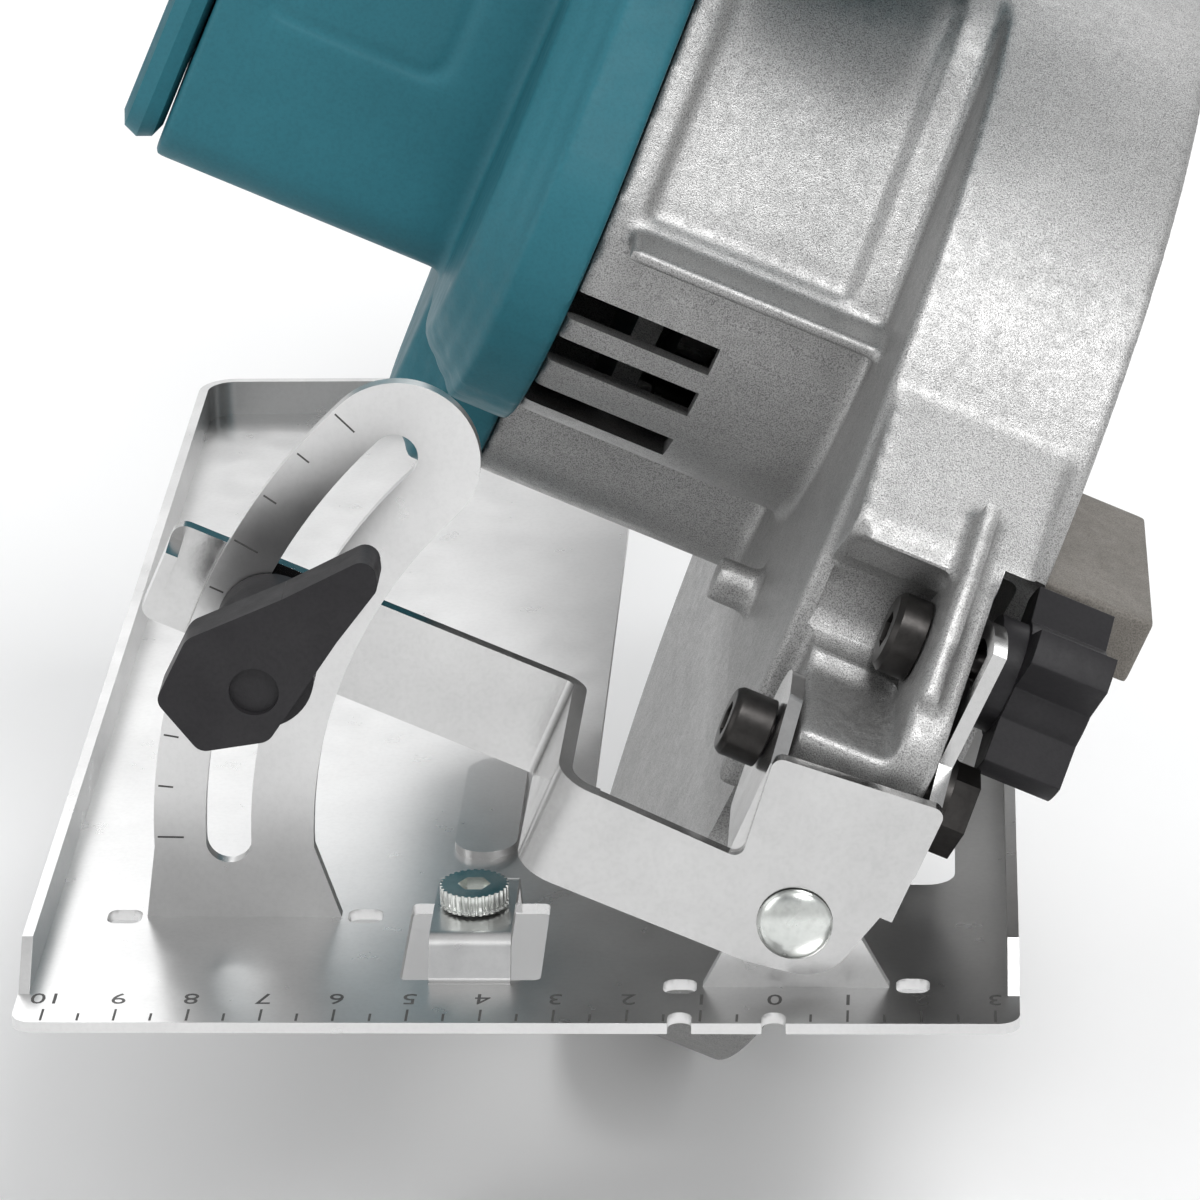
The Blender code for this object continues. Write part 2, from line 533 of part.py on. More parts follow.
# Drive train
def make_drive():
    turned("motor_shaft", [(0, -22.0), (3.9, -22.0), (3.9, -118.0), (0, -118.0)], MOTOR, STEEL,
           MOTOR_AXIS, 16)
    node("rotor_core", disc(MOTOR, 15.6, -99, -63, 4.2, 24), STEEL, MOTOR_AXIS)
    node("cooling_fan", slab([gear_loop(MOTOR, 12, 25.5, 12.0), circle(MOTOR, 4.2, 16)],
                             -57, -48, ALONG_A), BLACK, MOTOR_AXIS)
    node("motor_pinion", slab([gear_loop(MOTOR, 10, 6.1, 4.8), circle(MOTOR, 4.2, 16)],
                              -35.2, -29.4, ALONG_A), STEEL, MOTOR_AXIS)
    turned("idler_shaft", [(0, -22.0), (2.7, -22.0), (2.7, -38.2), (0, -38.2)], IDLER, STEEL,
           IDLER_AXIS, 16)
    node("idler_gear", slab([gear_loop(IDLER, 25, 15.2, 13.6), circle(IDLER, 3.0, 16)],
                            -35.0, -29.6, ALONG_A), STEEL, IDLER_AXIS)
    node("idler_pinion", slab([gear_loop(IDLER, 14, 8.3, 6.8), circle(IDLER, 3.0, 16)],
                              -29.2, -22.6, ALONG_A), STEEL, IDLER_AXIS)
    turned("spindle", [(0, -18.0), (2.9, -18.0), (2.9, -0.6), (4.8, -0.6), (4.8, -6.7),
                       (6.0, -6.7), (6.0, -34.8), (3.1, -34.8), (3.1, -38.4), (0, -38.4)],
           ARBOR, STEEL, ARBOR_AXIS)
    node("spindle_gear", slab([gear_loop(ARBOR, 22, 13.2, 11.6), circle(ARBOR, 6.3, 16)],
                              -28.6, -22.4, ALONG_A), STEEL, ARBOR_AXIS)
    node("inner_flange", disc(ARBOR, 15.0, -6.4, -4.0, 5.1), STEEL, ARBOR_AXIS)
    teeth = gear_loop(ARBOR, 24, BLADE_R, BLADE_R - 5.5)
    node("saw_blade", slab([teeth, circle(ARBOR, 5.1, 16)], BLADE_A - BLADE_T / 2 - 0.1,
                           BLADE_A + BLADE_T / 2 - 0.1, ALONG_A), STEEL, ARBOR_AXIS)
    node("outer_flange", disc(ARBOR, 15.0, -1.8, 0.8, 5.1), STEEL, ARBOR_AXIS)
    bolt = node("blade_bolt", slab([circle(ARBOR, 7.5, 6)], 1.1, 6.6, ALONG_A), BOLT, ARBOR_AXIS)
    add(bolt, disc(ARBOR, 2.6, -17.4, 1.6, steps=12))


# Lower guard
def make_lower_guard():
    axis = lateral_axis("guard_axis", ARBOR)
    start, end, rim = 168.0, 357.0, 87.4
    outline = arc(ARBOR, rim, start, end, 30) + arc(ARBOR, 26, end, start + 360, 12)
    guard = node("lower_guard", slab([outline], -9.8, 12.4, ALONG_A), CAST, axis)
    inside = arc(ARBOR, rim - 1.5, start - 20, end + 20, 32) + arc(ARBOR, 40, end + 20, start + 340, 6)
    cut(guard, slab([inside], -8.4, 11.0, ALONG_A), disc(ARBOR, 18, -12, -7, steps=24),
        disc(ARBOR, 16, 9, 14, steps=24), disc(HINGE, 27.6, 9.7, 14, steps=24))
    lean = 40.0
    lever = node("guard_lever", disc(ARBOR, 20.8, 12.7, 22.4, 16.0, 24), CAST, axis)
    side = [radians(lean + 90 * s) for s in (-1, 1)]
    root = [(ARBOR[0] + 18.5 * cos(radians(lean)) + 4 * cos(t),
             ARBOR[1] + 18.5 * sin(radians(lean)) + 4 * sin(t)) for t in side]
    tip = [(ARBOR[0] + 33 * cos(radians(lean)) + 4 * cos(t),
            ARBOR[1] + 33 * sin(radians(lean)) + 4 * sin(t)) for t in side]
    pad = [(x - 7 * cos(radians(lean)), z - 7 * sin(radians(lean))) for x, z in tip]
    add(lever, slab([[root[0], tip[0], tip[1], root[1]]], 19.6, 22.0, ALONG_A),
        slab([[pad[0], tip[0], tip[1], pad[1]]], 21.0, 28.0, ALONG_A))


# Controls and battery
def make_controls():
    trigger_axis = lateral_axis("trigger_axis", (8.0, 149.0))
    blade = rounded([(4.6, 152, 2), (3.6, 146, 1), (8, 132, 2), (16, 129, 2), (21, 134, 2),
                     (23, 146, 1), (23, 149, 1), (8, 152, 2)])
    node("trigger", slab([blade], HANDLE_A - 4.8, HANDLE_A + 4.8, ALONG_A), BLACK, trigger_axis)
    lock_axis = lateral_axis("lock_off_axis", (6.0, 158.0))
    node("lock_off_button", disc((6.0, 158.0), 4.7, HANDLE_A - 19.5, HANDLE_A - 9, steps=16), BLACK,
         lock_axis)


def make_battery():
    axis = lateral_axis("battery_axis", (152.0, 84.0))
    shell = rounded([(129, 32, 4), (170, 32, 8), (174, 60, 10), (174, 120, 8), (168, 136, 8),
                     (129, 136, 4)])
    pack = node("battery_pack", slab([shell], HANDLE_A - 36, HANDLE_A + 36, ALONG_A), BLACK, axis)
    cut(pack, bar((HANDLE_A - 11, 152, 126.2), (HANDLE_A + 11, 176, 140)))
    latch = lateral_axis("latch_axis", (160.0, 133.0))
    node("battery_latch", bar((HANDLE_A - 10.5, 152.5, 128.5), (HANDLE_A + 10.5, 166, 138)), TEAL,
         latch)


make_base()
make_fence_screw()
make_carriage()
make_bevel_lever()
make_blade_case()
make_motor_housing()
make_handle()
make_inside()
make_knob()
make_drive()
make_lower_guard()
make_controls()
make_battery()
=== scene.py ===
from math import acos, asin, atan2, cos, degrees, hypot, pi, radians, sin, tan

import bpy
import bmesh
from mathutils import Matrix, Vector


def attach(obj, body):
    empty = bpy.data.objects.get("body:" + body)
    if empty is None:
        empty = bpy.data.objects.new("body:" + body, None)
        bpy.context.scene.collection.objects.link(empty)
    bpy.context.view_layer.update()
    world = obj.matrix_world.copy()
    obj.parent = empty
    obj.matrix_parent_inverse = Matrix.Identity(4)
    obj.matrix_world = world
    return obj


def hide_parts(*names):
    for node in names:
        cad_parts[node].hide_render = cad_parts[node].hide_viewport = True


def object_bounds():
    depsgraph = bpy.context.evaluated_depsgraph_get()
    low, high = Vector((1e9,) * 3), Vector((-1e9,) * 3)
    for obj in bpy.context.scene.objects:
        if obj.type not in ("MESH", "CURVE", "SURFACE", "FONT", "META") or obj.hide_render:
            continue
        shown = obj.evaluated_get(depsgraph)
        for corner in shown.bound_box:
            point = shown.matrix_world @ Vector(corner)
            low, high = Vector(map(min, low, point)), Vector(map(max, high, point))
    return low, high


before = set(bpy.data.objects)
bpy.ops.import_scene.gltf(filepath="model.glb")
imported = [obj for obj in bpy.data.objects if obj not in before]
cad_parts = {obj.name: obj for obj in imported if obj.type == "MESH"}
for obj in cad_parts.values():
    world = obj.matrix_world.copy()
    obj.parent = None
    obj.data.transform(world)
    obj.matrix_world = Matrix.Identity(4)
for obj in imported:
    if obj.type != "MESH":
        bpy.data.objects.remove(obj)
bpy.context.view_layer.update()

MM = 0.001

# Base, in the row's own frame (x, y, z)
BASE_W, BASE_L, SHEET, RIM_H = 137.5, 240.0, 1.6, 7.5
BASE_CORNER, RIM_START_Y = 6.0, -113.0
BLADE_OPENING, FENCE_WINDOW = (7, 60, -75, 104), (-16.5, 3, -106.5, -81.5)
RELIEF_SLOTS = ((-59.5, -54.6, -88.2), (-25.4, -20.5, -87.9), (20.0, 24.6, -110.7),
                (51.9, 56.5, -110.4), (20.0, 24.6, 109.1), (51.9, 56.5, 109.4))
RULER_ZERO_X, NOTCHES_X, NOTCH_HALF, NOTCH_DEPTH = 35.4, (22.6, 35.4), 1.65, 3.4
FENCE_SCREW = (-6.75, -94.0)
PIVOT_X, PIVOT_Z, PIVOT_HOLE, BEVEL = 38.2, 12.4, 3.4, radians(24.0)
QUADRANT_Y, QUADRANT_T = -86.0, 2.0
QUADRANT_IN, QUADRANT_OUT, SLOT_R, SLOT_HALF = 68.0, 90.5, 80.0, 3.2
QUADRANT_TURN, SLOT_LOW_TURN, QUADRANT_FOOT_Z = 47.0, 0.6, 0.6
REAR_Y = 110.0

# Bevel frame: points are (y, b), and CLAMP_BOLT is (a, b)
BRACKET_Y, BRACKET_T, ARM_Y = -111.0, 2.0, (-83.5, -81.5)
CLAMP_BOLT, HINGE, HINGE_HOLE = (-80.0, 1.5), (-96.0, 18.0), 3.5
KNOB, DEPTH_TRAVEL, GUIDE_R = (-83.0, 34.0), 34.0, 204.0
ARBOR, MOTOR, SHROUD, HEAD = (14.0, 14.6), (24.0, 57.0), (-10.0, 50.0), (2.0, 80.0)
CASE_R, CASE_LEFT, CASE_RIGHT, CASE_WALL = 93.0, -13.4, 17.7, 2.9
GEAR_LEFT, MOTOR_HALF, MOTOR_LEFT, GAP = -56.0, 29.0, -119.0, 0.3
BLADE_T, BLADE_A, TEETH = 1.6, -2.8, 24
GUARD_R, GUARD_START, GUARD_END, GUARD_LEVER_TURN = 87.4, 168.0, 357.0, 40.0
HANDLE_A, HANDLE_HALF, HANDLE_WALL = -36.0, 16.0, 2.6
HANDLE_SCREWS, LOCK_OFF = {"front": (-36, 140), "top": (60, 156), "rear": (112, 100)}, (6, 158)
BATTERY_HALF = 36.0

# Making: arc steps against the CAD's, and how castings are softened
FINE, VOXEL, KEPT_SHARE = 4, 0.8, 0.4
MARK_T, EDGE_TURN = 0.03, radians(34)

ALONG_Z = Matrix.Identity(3)
ALONG_A = Matrix(((0, 0, 1), (1, 0, 0), (0, 1, 0)))
ALONG_Y = Matrix(((1, 0, 0), (0, 0, -1), (0, 1, 0)))
LEAN = Matrix.Translation((PIVOT_X * MM, 0, PIVOT_Z * MM)) @ Matrix.Rotation(BEVEL, 4, "Y")


# Materials


def nodes_of(name):
    made = bpy.data.materials.new(name)
    made.use_nodes = True
    tree = made.node_tree
    place = tree.nodes.new("ShaderNodeTexCoord").outputs["Object"]
    return made, tree, tree.nodes["Principled BSDF"], place


def noise(tree, place, scale, detail=3.0, rough=0.5, stretch=None):
    if stretch:
        mapping = tree.nodes.new("ShaderNodeMapping")
        mapping.inputs["Scale"].default_value = stretch
        tree.links.new(place, mapping.inputs["Vector"])
        place = mapping.outputs["Vector"]
    made = tree.nodes.new("ShaderNodeTexNoise")
    made.inputs["Scale"].default_value = scale
    made.inputs["Detail"].default_value = detail
    made.inputs["Roughness"].default_value = rough
    tree.links.new(place, made.inputs["Vector"])
    return made.outputs["Fac"]


def ramp(tree, value, stops):
    """Colour ramp through (position, colour) stops."""
    made = tree.nodes.new("ShaderNodeValToRGB")
    made.color_ramp.elements[0].position, made.color_ramp.elements[0].color = (
        stops[0][0], (*stops[0][1], 1))
    made.color_ramp.elements[1].position, made.color_ramp.elements[1].color = (
        stops[-1][0], (*stops[-1][1], 1))
    for position, colour in stops[1:-1]:
        made.color_ramp.elements.new(position).color = (*colour, 1)
    tree.links.new(value, made.inputs["Fac"])
    return made.outputs["Color"]


def spread(tree, value, low, high):
    """Stretch the middle of a noise's range to low..high."""
    made = tree.nodes.new("ShaderNodeMapRange")
    made.inputs["From Min"].default_value, made.inputs["From Max"].default_value = 0.3, 0.7
    made.inputs["To Min"].default_value, made.inputs["To Max"].default_value = low, high
    tree.links.new(value, made.inputs["Value"])
    return made.outputs["Result"]


def mixed(tree, first, second, share):
    """One colour multiplied by another."""
    made = tree.nodes.new("ShaderNodeMix")
    made.data_type = "RGBA"
    made.blend_type = "MULTIPLY"
    made.inputs["Factor"].default_value = share
    tree.links.new(first, made.inputs["A"])
    tree.links.new(second, made.inputs["B"])
    return made.outputs["Result"]


def bumped(tree, shader, layers):
    """Chain of bumps: each layer is (height, strength, distance in millimetres)."""
    normal = None
    for height, strength, distance in layers:
        bump = tree.nodes.new("ShaderNodeBump")
        bump.inputs["Strength"].default_value = strength
        bump.inputs["Distance"].default_value = distance * MM
        tree.links.new(height, bump.inputs["Height"])
        if normal:
            tree.links.new(normal, bump.inputs["Normal"])
        normal = bump.outputs["Normal"]
    tree.links.new(normal, shader.inputs["Normal"])


def surface(name, colours, metal, rough, grain, depth, wave=0.0, speckle=0.0, specular=0.5,
            streak=None):
    """Procedural finish: cloudy base colour, fine speckle, roughness variation and two bumps."""
    made, tree, shader, place = nodes_of(name)
    cloud = noise(tree, place, 38.0, 4.0, 0.6)
    colour = ramp(tree, cloud, [(0.32, colours[0]), (0.68, colours[1])])
    fine = noise(tree, place, grain, 2.0, 0.6, streak)
    if speckle:
        dots = ramp(tree, fine, [(0.34, (1 - speckle,) * 3), (0.5, (1 - speckle * 0.35,) * 3),
                                 (0.66, (1.0,) * 3)])
        colour = mixed(tree, colour, dots, 1.0)
    tree.links.new(colour, shader.inputs["Base Color"])
    shader.inputs["Metallic"].default_value = metal
    shader.inputs["Specular IOR Level"].default_value = specular
    tree.links.new(spread(tree, noise(tree, place, grain * 0.11, 3.0, 0.6, streak), *rough),
                   shader.inputs["Roughness"])
    layers = [(fine, depth, 0.08)]
    if wave:
        layers.append((noise(tree, place, 26.0, 2.0, 0.5), wave, 1.0))
    bumped(tree, shader, layers)
    return made


PLATED = surface("plated_steel", ((0.50, 0.498, 0.496), (0.61, 0.608, 0.604)), 1.0,
                 (0.14, 0.26), 1400.0, 0.06, wave=0.12, speckle=0.06)
SOLE = surface("plated_base", ((0.62, 0.618, 0.616), (0.70, 0.698, 0.694)), 1.0,
               (0.27, 0.33), 1400.0, 0.03, wave=0.06, speckle=0.04)
CAST = surface("cast_aluminium", ((0.45, 0.448, 0.444), (0.54, 0.537, 0.532)), 0.80,
               (0.36, 0.54), 5200.0, 0.75, speckle=0.62)
TEAL = surface("teal_plastic", ((0.020, 0.125, 0.160), (0.024, 0.145, 0.185)), 0.0, (0.42, 0.56),
               1900.0, 0.20, speckle=0.10, specular=0.25)
BLACK = surface("black_plastic", ((0.016, 0.015, 0.017), (0.026, 0.025, 0.027)), 0.0, (0.40, 0.56),
                1700.0, 0.25, speckle=0.15, specular=0.22)
RUBBER = surface("soft_rubber", ((0.012, 0.012, 0.013), (0.020, 0.020, 0.021)), 0.0, (0.62, 0.80),
                 1300.0, 0.45, speckle=0.2)
BOLT = surface("black_oxide", ((0.030, 0.028, 0.027), (0.055, 0.052, 0.050)), 0.85, (0.28, 0.46),
               900.0, 0.20, speckle=0.2)
ZINC = surface("zinc_plate", ((0.62, 0.64, 0.62), (0.76, 0.78, 0.75)), 1.0, (0.16, 0.30),
               800.0, 0.15, wave=0.05, speckle=0.12)
STEEL = surface("ground_steel", ((0.52, 0.52, 0.52), (0.64, 0.64, 0.63)), 1.0, (0.18, 0.32),
                700.0, 0.12, speckle=0.12, streak=(1.0, 1.0, 0.06))
# A darker, browner copy of the cast aluminium finish: painted shade on the chip block
SHADED_CAST = surface("grey_casting", ((0.20, 0.185, 0.165), (0.27, 0.25, 0.225)), 0.45,
                    (0.50, 0.68), 4200.0, 0.60, speckle=0.42)
MARK = surface("engraved_mark", ((0.040, 0.039, 0.038), (0.075, 0.073, 0.071)), 0.0, (0.45, 0.6),
               900.0, 0.2, speckle=0.2)
COPPER = surface("copper_winding", ((0.50, 0.20, 0.08), (0.66, 0.30, 0.13)), 0.9, (0.30, 0.45),
                 400.0, 0.5, speckle=0.3)
BOARD = surface("controller_potting", ((0.02, 0.045, 0.03), (0.035, 0.07, 0.045)), 0.0,
                (0.4, 0.6), 600.0, 0.3, speckle=0.2)
CARBIDE = surface("carbide", ((0.22, 0.22, 0.23), (0.30, 0.30, 0.31)), 1.0, (0.25, 0.4), 900.0,
                  0.2, speckle=0.2)


# Outlines


def arc(centre, radius, start, end, steps):
    """Points along an arc, from start to end in degrees."""
    steps *= FINE
    turns = [radians(start + (end - start) * i / steps) for i in range(steps + 1)]
    return [(centre[0] + radius * cos(t), centre[1] + radius * sin(t)) for t in turns]


def polar(centre, radius, degrees):
    return (centre[0] + radius * cos(radians(degrees)), centre[1] + radius * sin(radians(degrees)))


def circle(centre, radius, steps=48, start=0.0):
    return [polar(centre, radius, start + 360 * i / steps) for i in range(steps)]


def hull(first, r1, second, r2, steps=6):
    """Outline of the belt around two circles."""
    dx, dy = second[0] - first[0], second[1] - first[1]
    lean = degrees(atan2(dy, dx))
    contact = degrees(acos((r1 - r2) / hypot(dx, dy)))
    return (arc(first, r1, lean + contact, lean + 360 - contact, steps)
            + arc(second, r2, lean - contact, lean + contact, steps))


def rounded(corners, steps=8):
    """Polygon whose corners (x, y, radius) are rounded by arcs."""
    points = []
    count = len(corners)
    for i, (x, y, radius) in enumerate(corners):
        here = Vector((x, y))
        if radius <= 0:
            points.append((x, y))
            continue
        back = (Vector(corners[i - 1][:2]) - here).normalized()
        ahead = (Vector(corners[(i + 1) % count][:2]) - here).normalized()
        half = back.angle(ahead) / 2
        centre = here + (back + ahead).normalized() * radius / sin(half)
        begin = here + back * radius / tan(half) - centre
        finish = here + ahead * radius / tan(half) - centre
        sweep = atan2(begin.x * finish.y - begin.y * finish.x, begin.dot(finish))
        start = atan2(begin.y, begin.x)
        for k in range(steps + 1):
            turn = start + sweep * k / steps
            points.append((centre.x + radius * cos(turn), centre.y + radius * sin(turn)))
    return points


def box_loop(x0, x1, y0, y1, radius=0.0):
    return rounded([(x0, y0, radius), (x1, y0, radius), (x1, y1, radius), (x0, y1, radius)])


def toothed(centre, count, profile):
    """Outline that repeats a profile of (share of the pitch, radius) round a centre."""
    return [polar(centre, radius, 360 / count * (i + share))
            for i in range(count) for share, radius in profile]


# Solids


def linked(name, data):
    made = bpy.data.objects.new(name, data)
    bpy.context.scene.collection.objects.link(made)
    return made


def seen(obj):
    """Mesh of an object as its modifiers or its curve show it."""
    return bpy.data.meshes.new_from_object(
        obj.evaluated_get(bpy.context.evaluated_depsgraph_get()))


def drawn(curve):
    """Mesh of a curve or a text."""
    guide = linked("guide", curve)
    mesh = seen(guide)
    bpy.data.objects.remove(guide, do_unlink=True)
    return mesh


def mesh_of(shape, name):
    mesh = bpy.data.meshes.new(name)
    shape.to_mesh(mesh)
    shape.free()
    return mesh


def add_prism(shape, low, high):
    """Closed block between two rings of points, in millimetres."""
    first, second = [[shape.verts.new(Vector(point) * MM) for point in ring]
                     for ring in (low, high)]
    shape.faces.new(first)
    shape.faces.new(second[::-1])
    for i in range(len(first)):
        shape.faces.new((first[i], first[i - 1], second[i - 1], second[i]))


def slab(loops, low, high, along=ALONG_Z):
    """Closed mesh of a flat outline with holes, from low to high along an axis."""
    curve = bpy.data.curves.new("outline", "CURVE")
    curve.dimensions = "2D"
    curve.fill_mode = "BOTH"
    curve.extrude = (high - low) / 2 * MM
    for loop in loops:
        spline = curve.splines.new("POLY")
        spline.points.add(len(loop) - 1)
        for point, (x, y) in zip(spline.points, loop):
            point.co = (x * MM, y * MM, 0, 1)
        spline.use_cyclic_u = True
    mesh = drawn(curve)
    sign = -1 if along is ALONG_Y else 1
    lift = Matrix.Translation((0, 0, sign * (low + high) / 2 * MM))
    mesh.transform(along.to_4x4() @ lift)
    return cleaned(mesh)


def cleaned(mesh, flat=radians(0.5)):
    """Weld doubled points and merge flat faces."""
    shape = bmesh.new()
    shape.from_mesh(mesh)
    bmesh.ops.remove_doubles(shape, verts=shape.verts, dist=2e-6)
    bmesh.ops.dissolve_limit(shape, angle_limit=flat, verts=shape.verts, edges=shape.edges)
    bmesh.ops.recalc_face_normals(shape, faces=shape.faces)
    shape.to_mesh(mesh)
    shape.free()
    return mesh


def bar(low, high):
    shape = bmesh.new()
    bmesh.ops.create_cube(shape, size=1.0)
    size = [(h - l) * MM for l, h in zip(low, high)]
    middle = [(h + l) / 2 * MM for l, h in zip(low, high)]
    bmesh.ops.scale(shape, vec=size, verts=shape.verts)
    bmesh.ops.translate(shape, vec=middle, verts=shape.verts)
    return mesh_of(shape, "bar")


def disc(centre, radius, low, high, hole=0.0, steps=56, along=ALONG_A):
    loops = [circle(centre, radius, steps)]
    if hole:
        loops.append(circle(centre, hole, max(24, steps // 2)))
    return slab(loops, low, high, along)


def applied(obj):
    """Apply an object's modifiers in place."""
    mesh = seen(obj)
    obj.modifiers.clear()
    obj.data = mesh
    return mesh


def reshaped(mesh, *steps):
    """Mesh after modifiers, each (kind, settings)."""
    made = linked("work", mesh)
    for kind, settings in steps:
        step = made.modifiers.new(kind.lower(), kind)
        for setting, value in settings.items():
            setattr(step, setting, value)
    result = applied(made)
    bpy.data.objects.remove(made, do_unlink=True)
    return result


def combine(mesh, steps, tidy=True):
    """Boolean steps ("+" adds, "-" cuts), applied in order."""
    guides = [linked("guide", other) for _, other in steps]
    result = reshaped(mesh, *[
        ("BOOLEAN", {"operation": "UNION" if sign == "+" else "DIFFERENCE",
                     "solver": "MANIFOLD", "object": guide})
        for (sign, _), guide in zip(steps, guides)])
    for guide in guides:
        bpy.data.objects.remove(guide, do_unlink=True)
    return cleaned(result) if tidy else result


def molten(mesh, voxel=VOXEL, rounds=4):
    """Softens every edge as a casting's fillets do, then thins the mesh."""
    soft = reshaped(
        mesh, ("REMESH", {"mode": "VOXEL", "voxel_size": voxel * MM, "adaptivity": 0.0}),
        ("SMOOTH", {"factor": 0.5, "iterations": rounds}))
    return reshaped(soft, ("DECIMATE", {"ratio": KEPT_SHARE}))


def piece(name, body, mesh, paint, nodes=(), bevel=0.3, segments=2, leaning=True,
          smooth=38.0):
    """Link a finished mesh as a visible piece that rides on a body."""
    if leaning:
        mesh.transform(LEAN)
    mesh.materials.clear()
    mesh.materials.append(paint)
    made = linked(name, mesh)
    if bevel:
        step = made.modifiers.new("edge", "BEVEL")
        step.width = bevel * MM
        step.segments = segments
        step.limit_method = "ANGLE"
        step.angle_limit = EDGE_TURN
        step.use_clamp_overlap = True
        step.miter_outer = "MITER_ARC"
        mesh = applied(made)
    mesh.shade_smooth()
    mesh.set_sharp_from_angle(angle=radians(smooth))
    if bevel:
        weight = made.modifiers.new("weight", "WEIGHTED_NORMAL")
        weight.keep_sharp = True
    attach(made, body)
    if nodes:
        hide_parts(*nodes)
    return made


def turned(profile, centre, steps=64):
    """Mesh of revolution about a sideways line; profile is (radius, a)."""
    shape = bmesh.new()
    rings = []
    for radius, a in profile:
        ring = []
        if radius <= 1e-6:
            ring = [shape.verts.new((a * MM, centre[0] * MM, centre[1] * MM))] * steps
        else:
            for i in range(steps):
                y, b = polar(centre, radius, 360 * i / steps)
                ring.append(shape.verts.new((a * MM, y * MM, b * MM)))
        rings.append(ring)
    for first, second in zip(rings, rings[1:]):
        for i in range(steps):
            j = (i + 1) % steps
            corners = []
            for vertex in (first[i], first[j], second[j], second[i]):
                if vertex not in corners:
                    corners.append(vertex)
            if len(corners) > 2:
                shape.faces.new(corners)
    bmesh.ops.recalc_face_normals(shape, faces=shape.faces)
    return mesh_of(shape, "turned")


# Base


def quadrant_point(radius, turn):
    """Point (x, z) on a circle round the bevel pivot, turned from the motor side."""
    return (PIVOT_X - radius * cos(radians(turn)), PIVOT_Z + radius * sin(radians(turn)))


def quadrant_arc(radius, start, end, steps):
    return [quadrant_point(radius, start + (end - start) * i / steps) for i in range(steps + 1)]


def quadrant_loops():
    """Outline and slot of the upright bevel scale."""
    middle, half = (QUADRANT_IN + QUADRANT_OUT) / 2, (QUADRANT_OUT - QUADRANT_IN) / 2
    top, low = QUADRANT_TURN, SLOT_LOW_TURN
    outer = [(-54.0, QUADRANT_FOOT_Z)] + quadrant_arc(QUADRANT_OUT, 0, top, 40)
    outer += arc(quadrant_point(middle, top), half, 180 - top, -top, 8)[1:-1]
    outer += quadrant_arc(QUADRANT_IN, top, 0, 36) + [(-26.0, QUADRANT_FOOT_Z)]
    slot = quadrant_arc(SLOT_R + SLOT_HALF, low, top, 36)
    slot += arc(quadrant_point(SLOT_R, top), SLOT_HALF, 180 - top, -top, 4)[1:-1]
    slot += quadrant_arc(SLOT_R - SLOT_HALF, top, low, 36)
    slot += arc(quadrant_point(SLOT_R, low), SLOT_HALF, -low, -180 - low, 4)[1:-1]
    return [outer, slot]


def pivot_plate_loops():
    """Outline and rivet hole of the plates that carry the bevel pivot."""
    top = arc((PIVOT_X, PIVOT_Z), 8.0, -10, 190, 8)
    return [[(51.5, 0.6), *top, (24.9, 0.6)][::-1], circle((PIVOT_X, PIVOT_Z), PIVOT_HOLE)]


def sheet_loops():
    """Outline of the flat sheet, its sight notches and everything cut through it."""
    half_w, half_l = BASE_W / 2, BASE_L / 2
    outer = [(-half_w, -half_l, 3.0)]
    for notch in NOTCHES_X:
        left, right, deep = notch - NOTCH_HALF, notch + NOTCH_HALF, -half_l + NOTCH_DEPTH
        outer += [(left, -half_l, 0), (left, deep, 1.6), (right, deep, 1.6),
                  (right, -half_l, 0)]
    outer += [(half_w, -half_l, 3.0), (half_w, half_l, BASE_CORNER),
              (-half_w, half_l, BASE_CORNER)]
    slots = [box_loop(x0, x1, y0, y0 + 4.5, 1.5) for x0, x1, y0 in RELIEF_SLOTS]
    return [rounded(outer), box_loop(*BLADE_OPENING, 4), box_loop(*FENCE_WINDOW, 1)] + slots


def rim_loop(inset, corner):
    """U-shaped line along the sides and the back of the sheet."""
    x, y = BASE_W / 2 - inset, BASE_L / 2 - inset
    return rounded([(-x, RIM_START_Y, 0), (-x, y, corner), (x, y, corner), (x, RIM_START_Y, 0)])


def make_base():
    slope = [(-114, -1), (-104, RIM_H + 1), (-120, RIM_H + 1), (-120, -1)]
    outside = rim_loop(0.05, BASE_CORNER)
    inside = rim_loop(SHEET, BASE_CORNER - SHEET)[::-1]
    rim = combine(slab([outside + inside], 0.4, RIM_H), [("-", slab([slope], -80, 80, ALONG_A))])
    strap = rounded([(-108, 0.2, 0), (-106.4, 0.2, 0.3), (-103.2, 5.6, 1.2), (-84.8, 5.6, 1.2),
                     (-81.6, 0.2, 0.3), (-80, 0.2, 0), (-80, 1.8, 0), (-80.8, 1.8, 0.8),
                     (-84.0, 7.2, 2.8), (-104.0, 7.2, 2.8), (-107.2, 1.8, 0.8), (-108, 1.8, 0)], 5)
    bead = slab([hull((-7.5, -62), 4.5, (-7.5, -37), 4.5, 6)], 1.0, 2.8)
    mesh = combine(slab(sheet_loops(), 0, SHEET), [
        ("+", rim), ("+", bead),
        ("+", slab(quadrant_loops(), QUADRANT_Y, QUADRANT_Y + QUADRANT_T, ALONG_Y)),
        ("+", slab(pivot_plate_loops(), -108.6, -106.8, ALONG_Y)),
        ("+", slab(pivot_plate_loops(), REAR_Y, REAR_Y + 1.8, ALONG_Y)),
        ("+", slab([strap], -12.4, -1.1, ALONG_A)),
        ("-", slab([circle(FENCE_SCREW, 2.6)], 4, 9))])
    piece("base_sheet", "base", mesh, SOLE, ["base_plate"], 0.45, 3, False)


def marks(name, strips):
    """Thin dark strips on the base: each is four corners and a normal, in millimetres."""
    shape = bmesh.new()
    for corners, normal in strips:
        raised = [Vector(corner) + Vector(normal) * MARK_T for corner in corners]
        add_prism(shape, corners, raised)
    bmesh.ops.recalc_face_normals(shape, faces=shape.faces)
    piece(name, "base", mesh_of(shape, name), MARK, (), 0, 1, False)


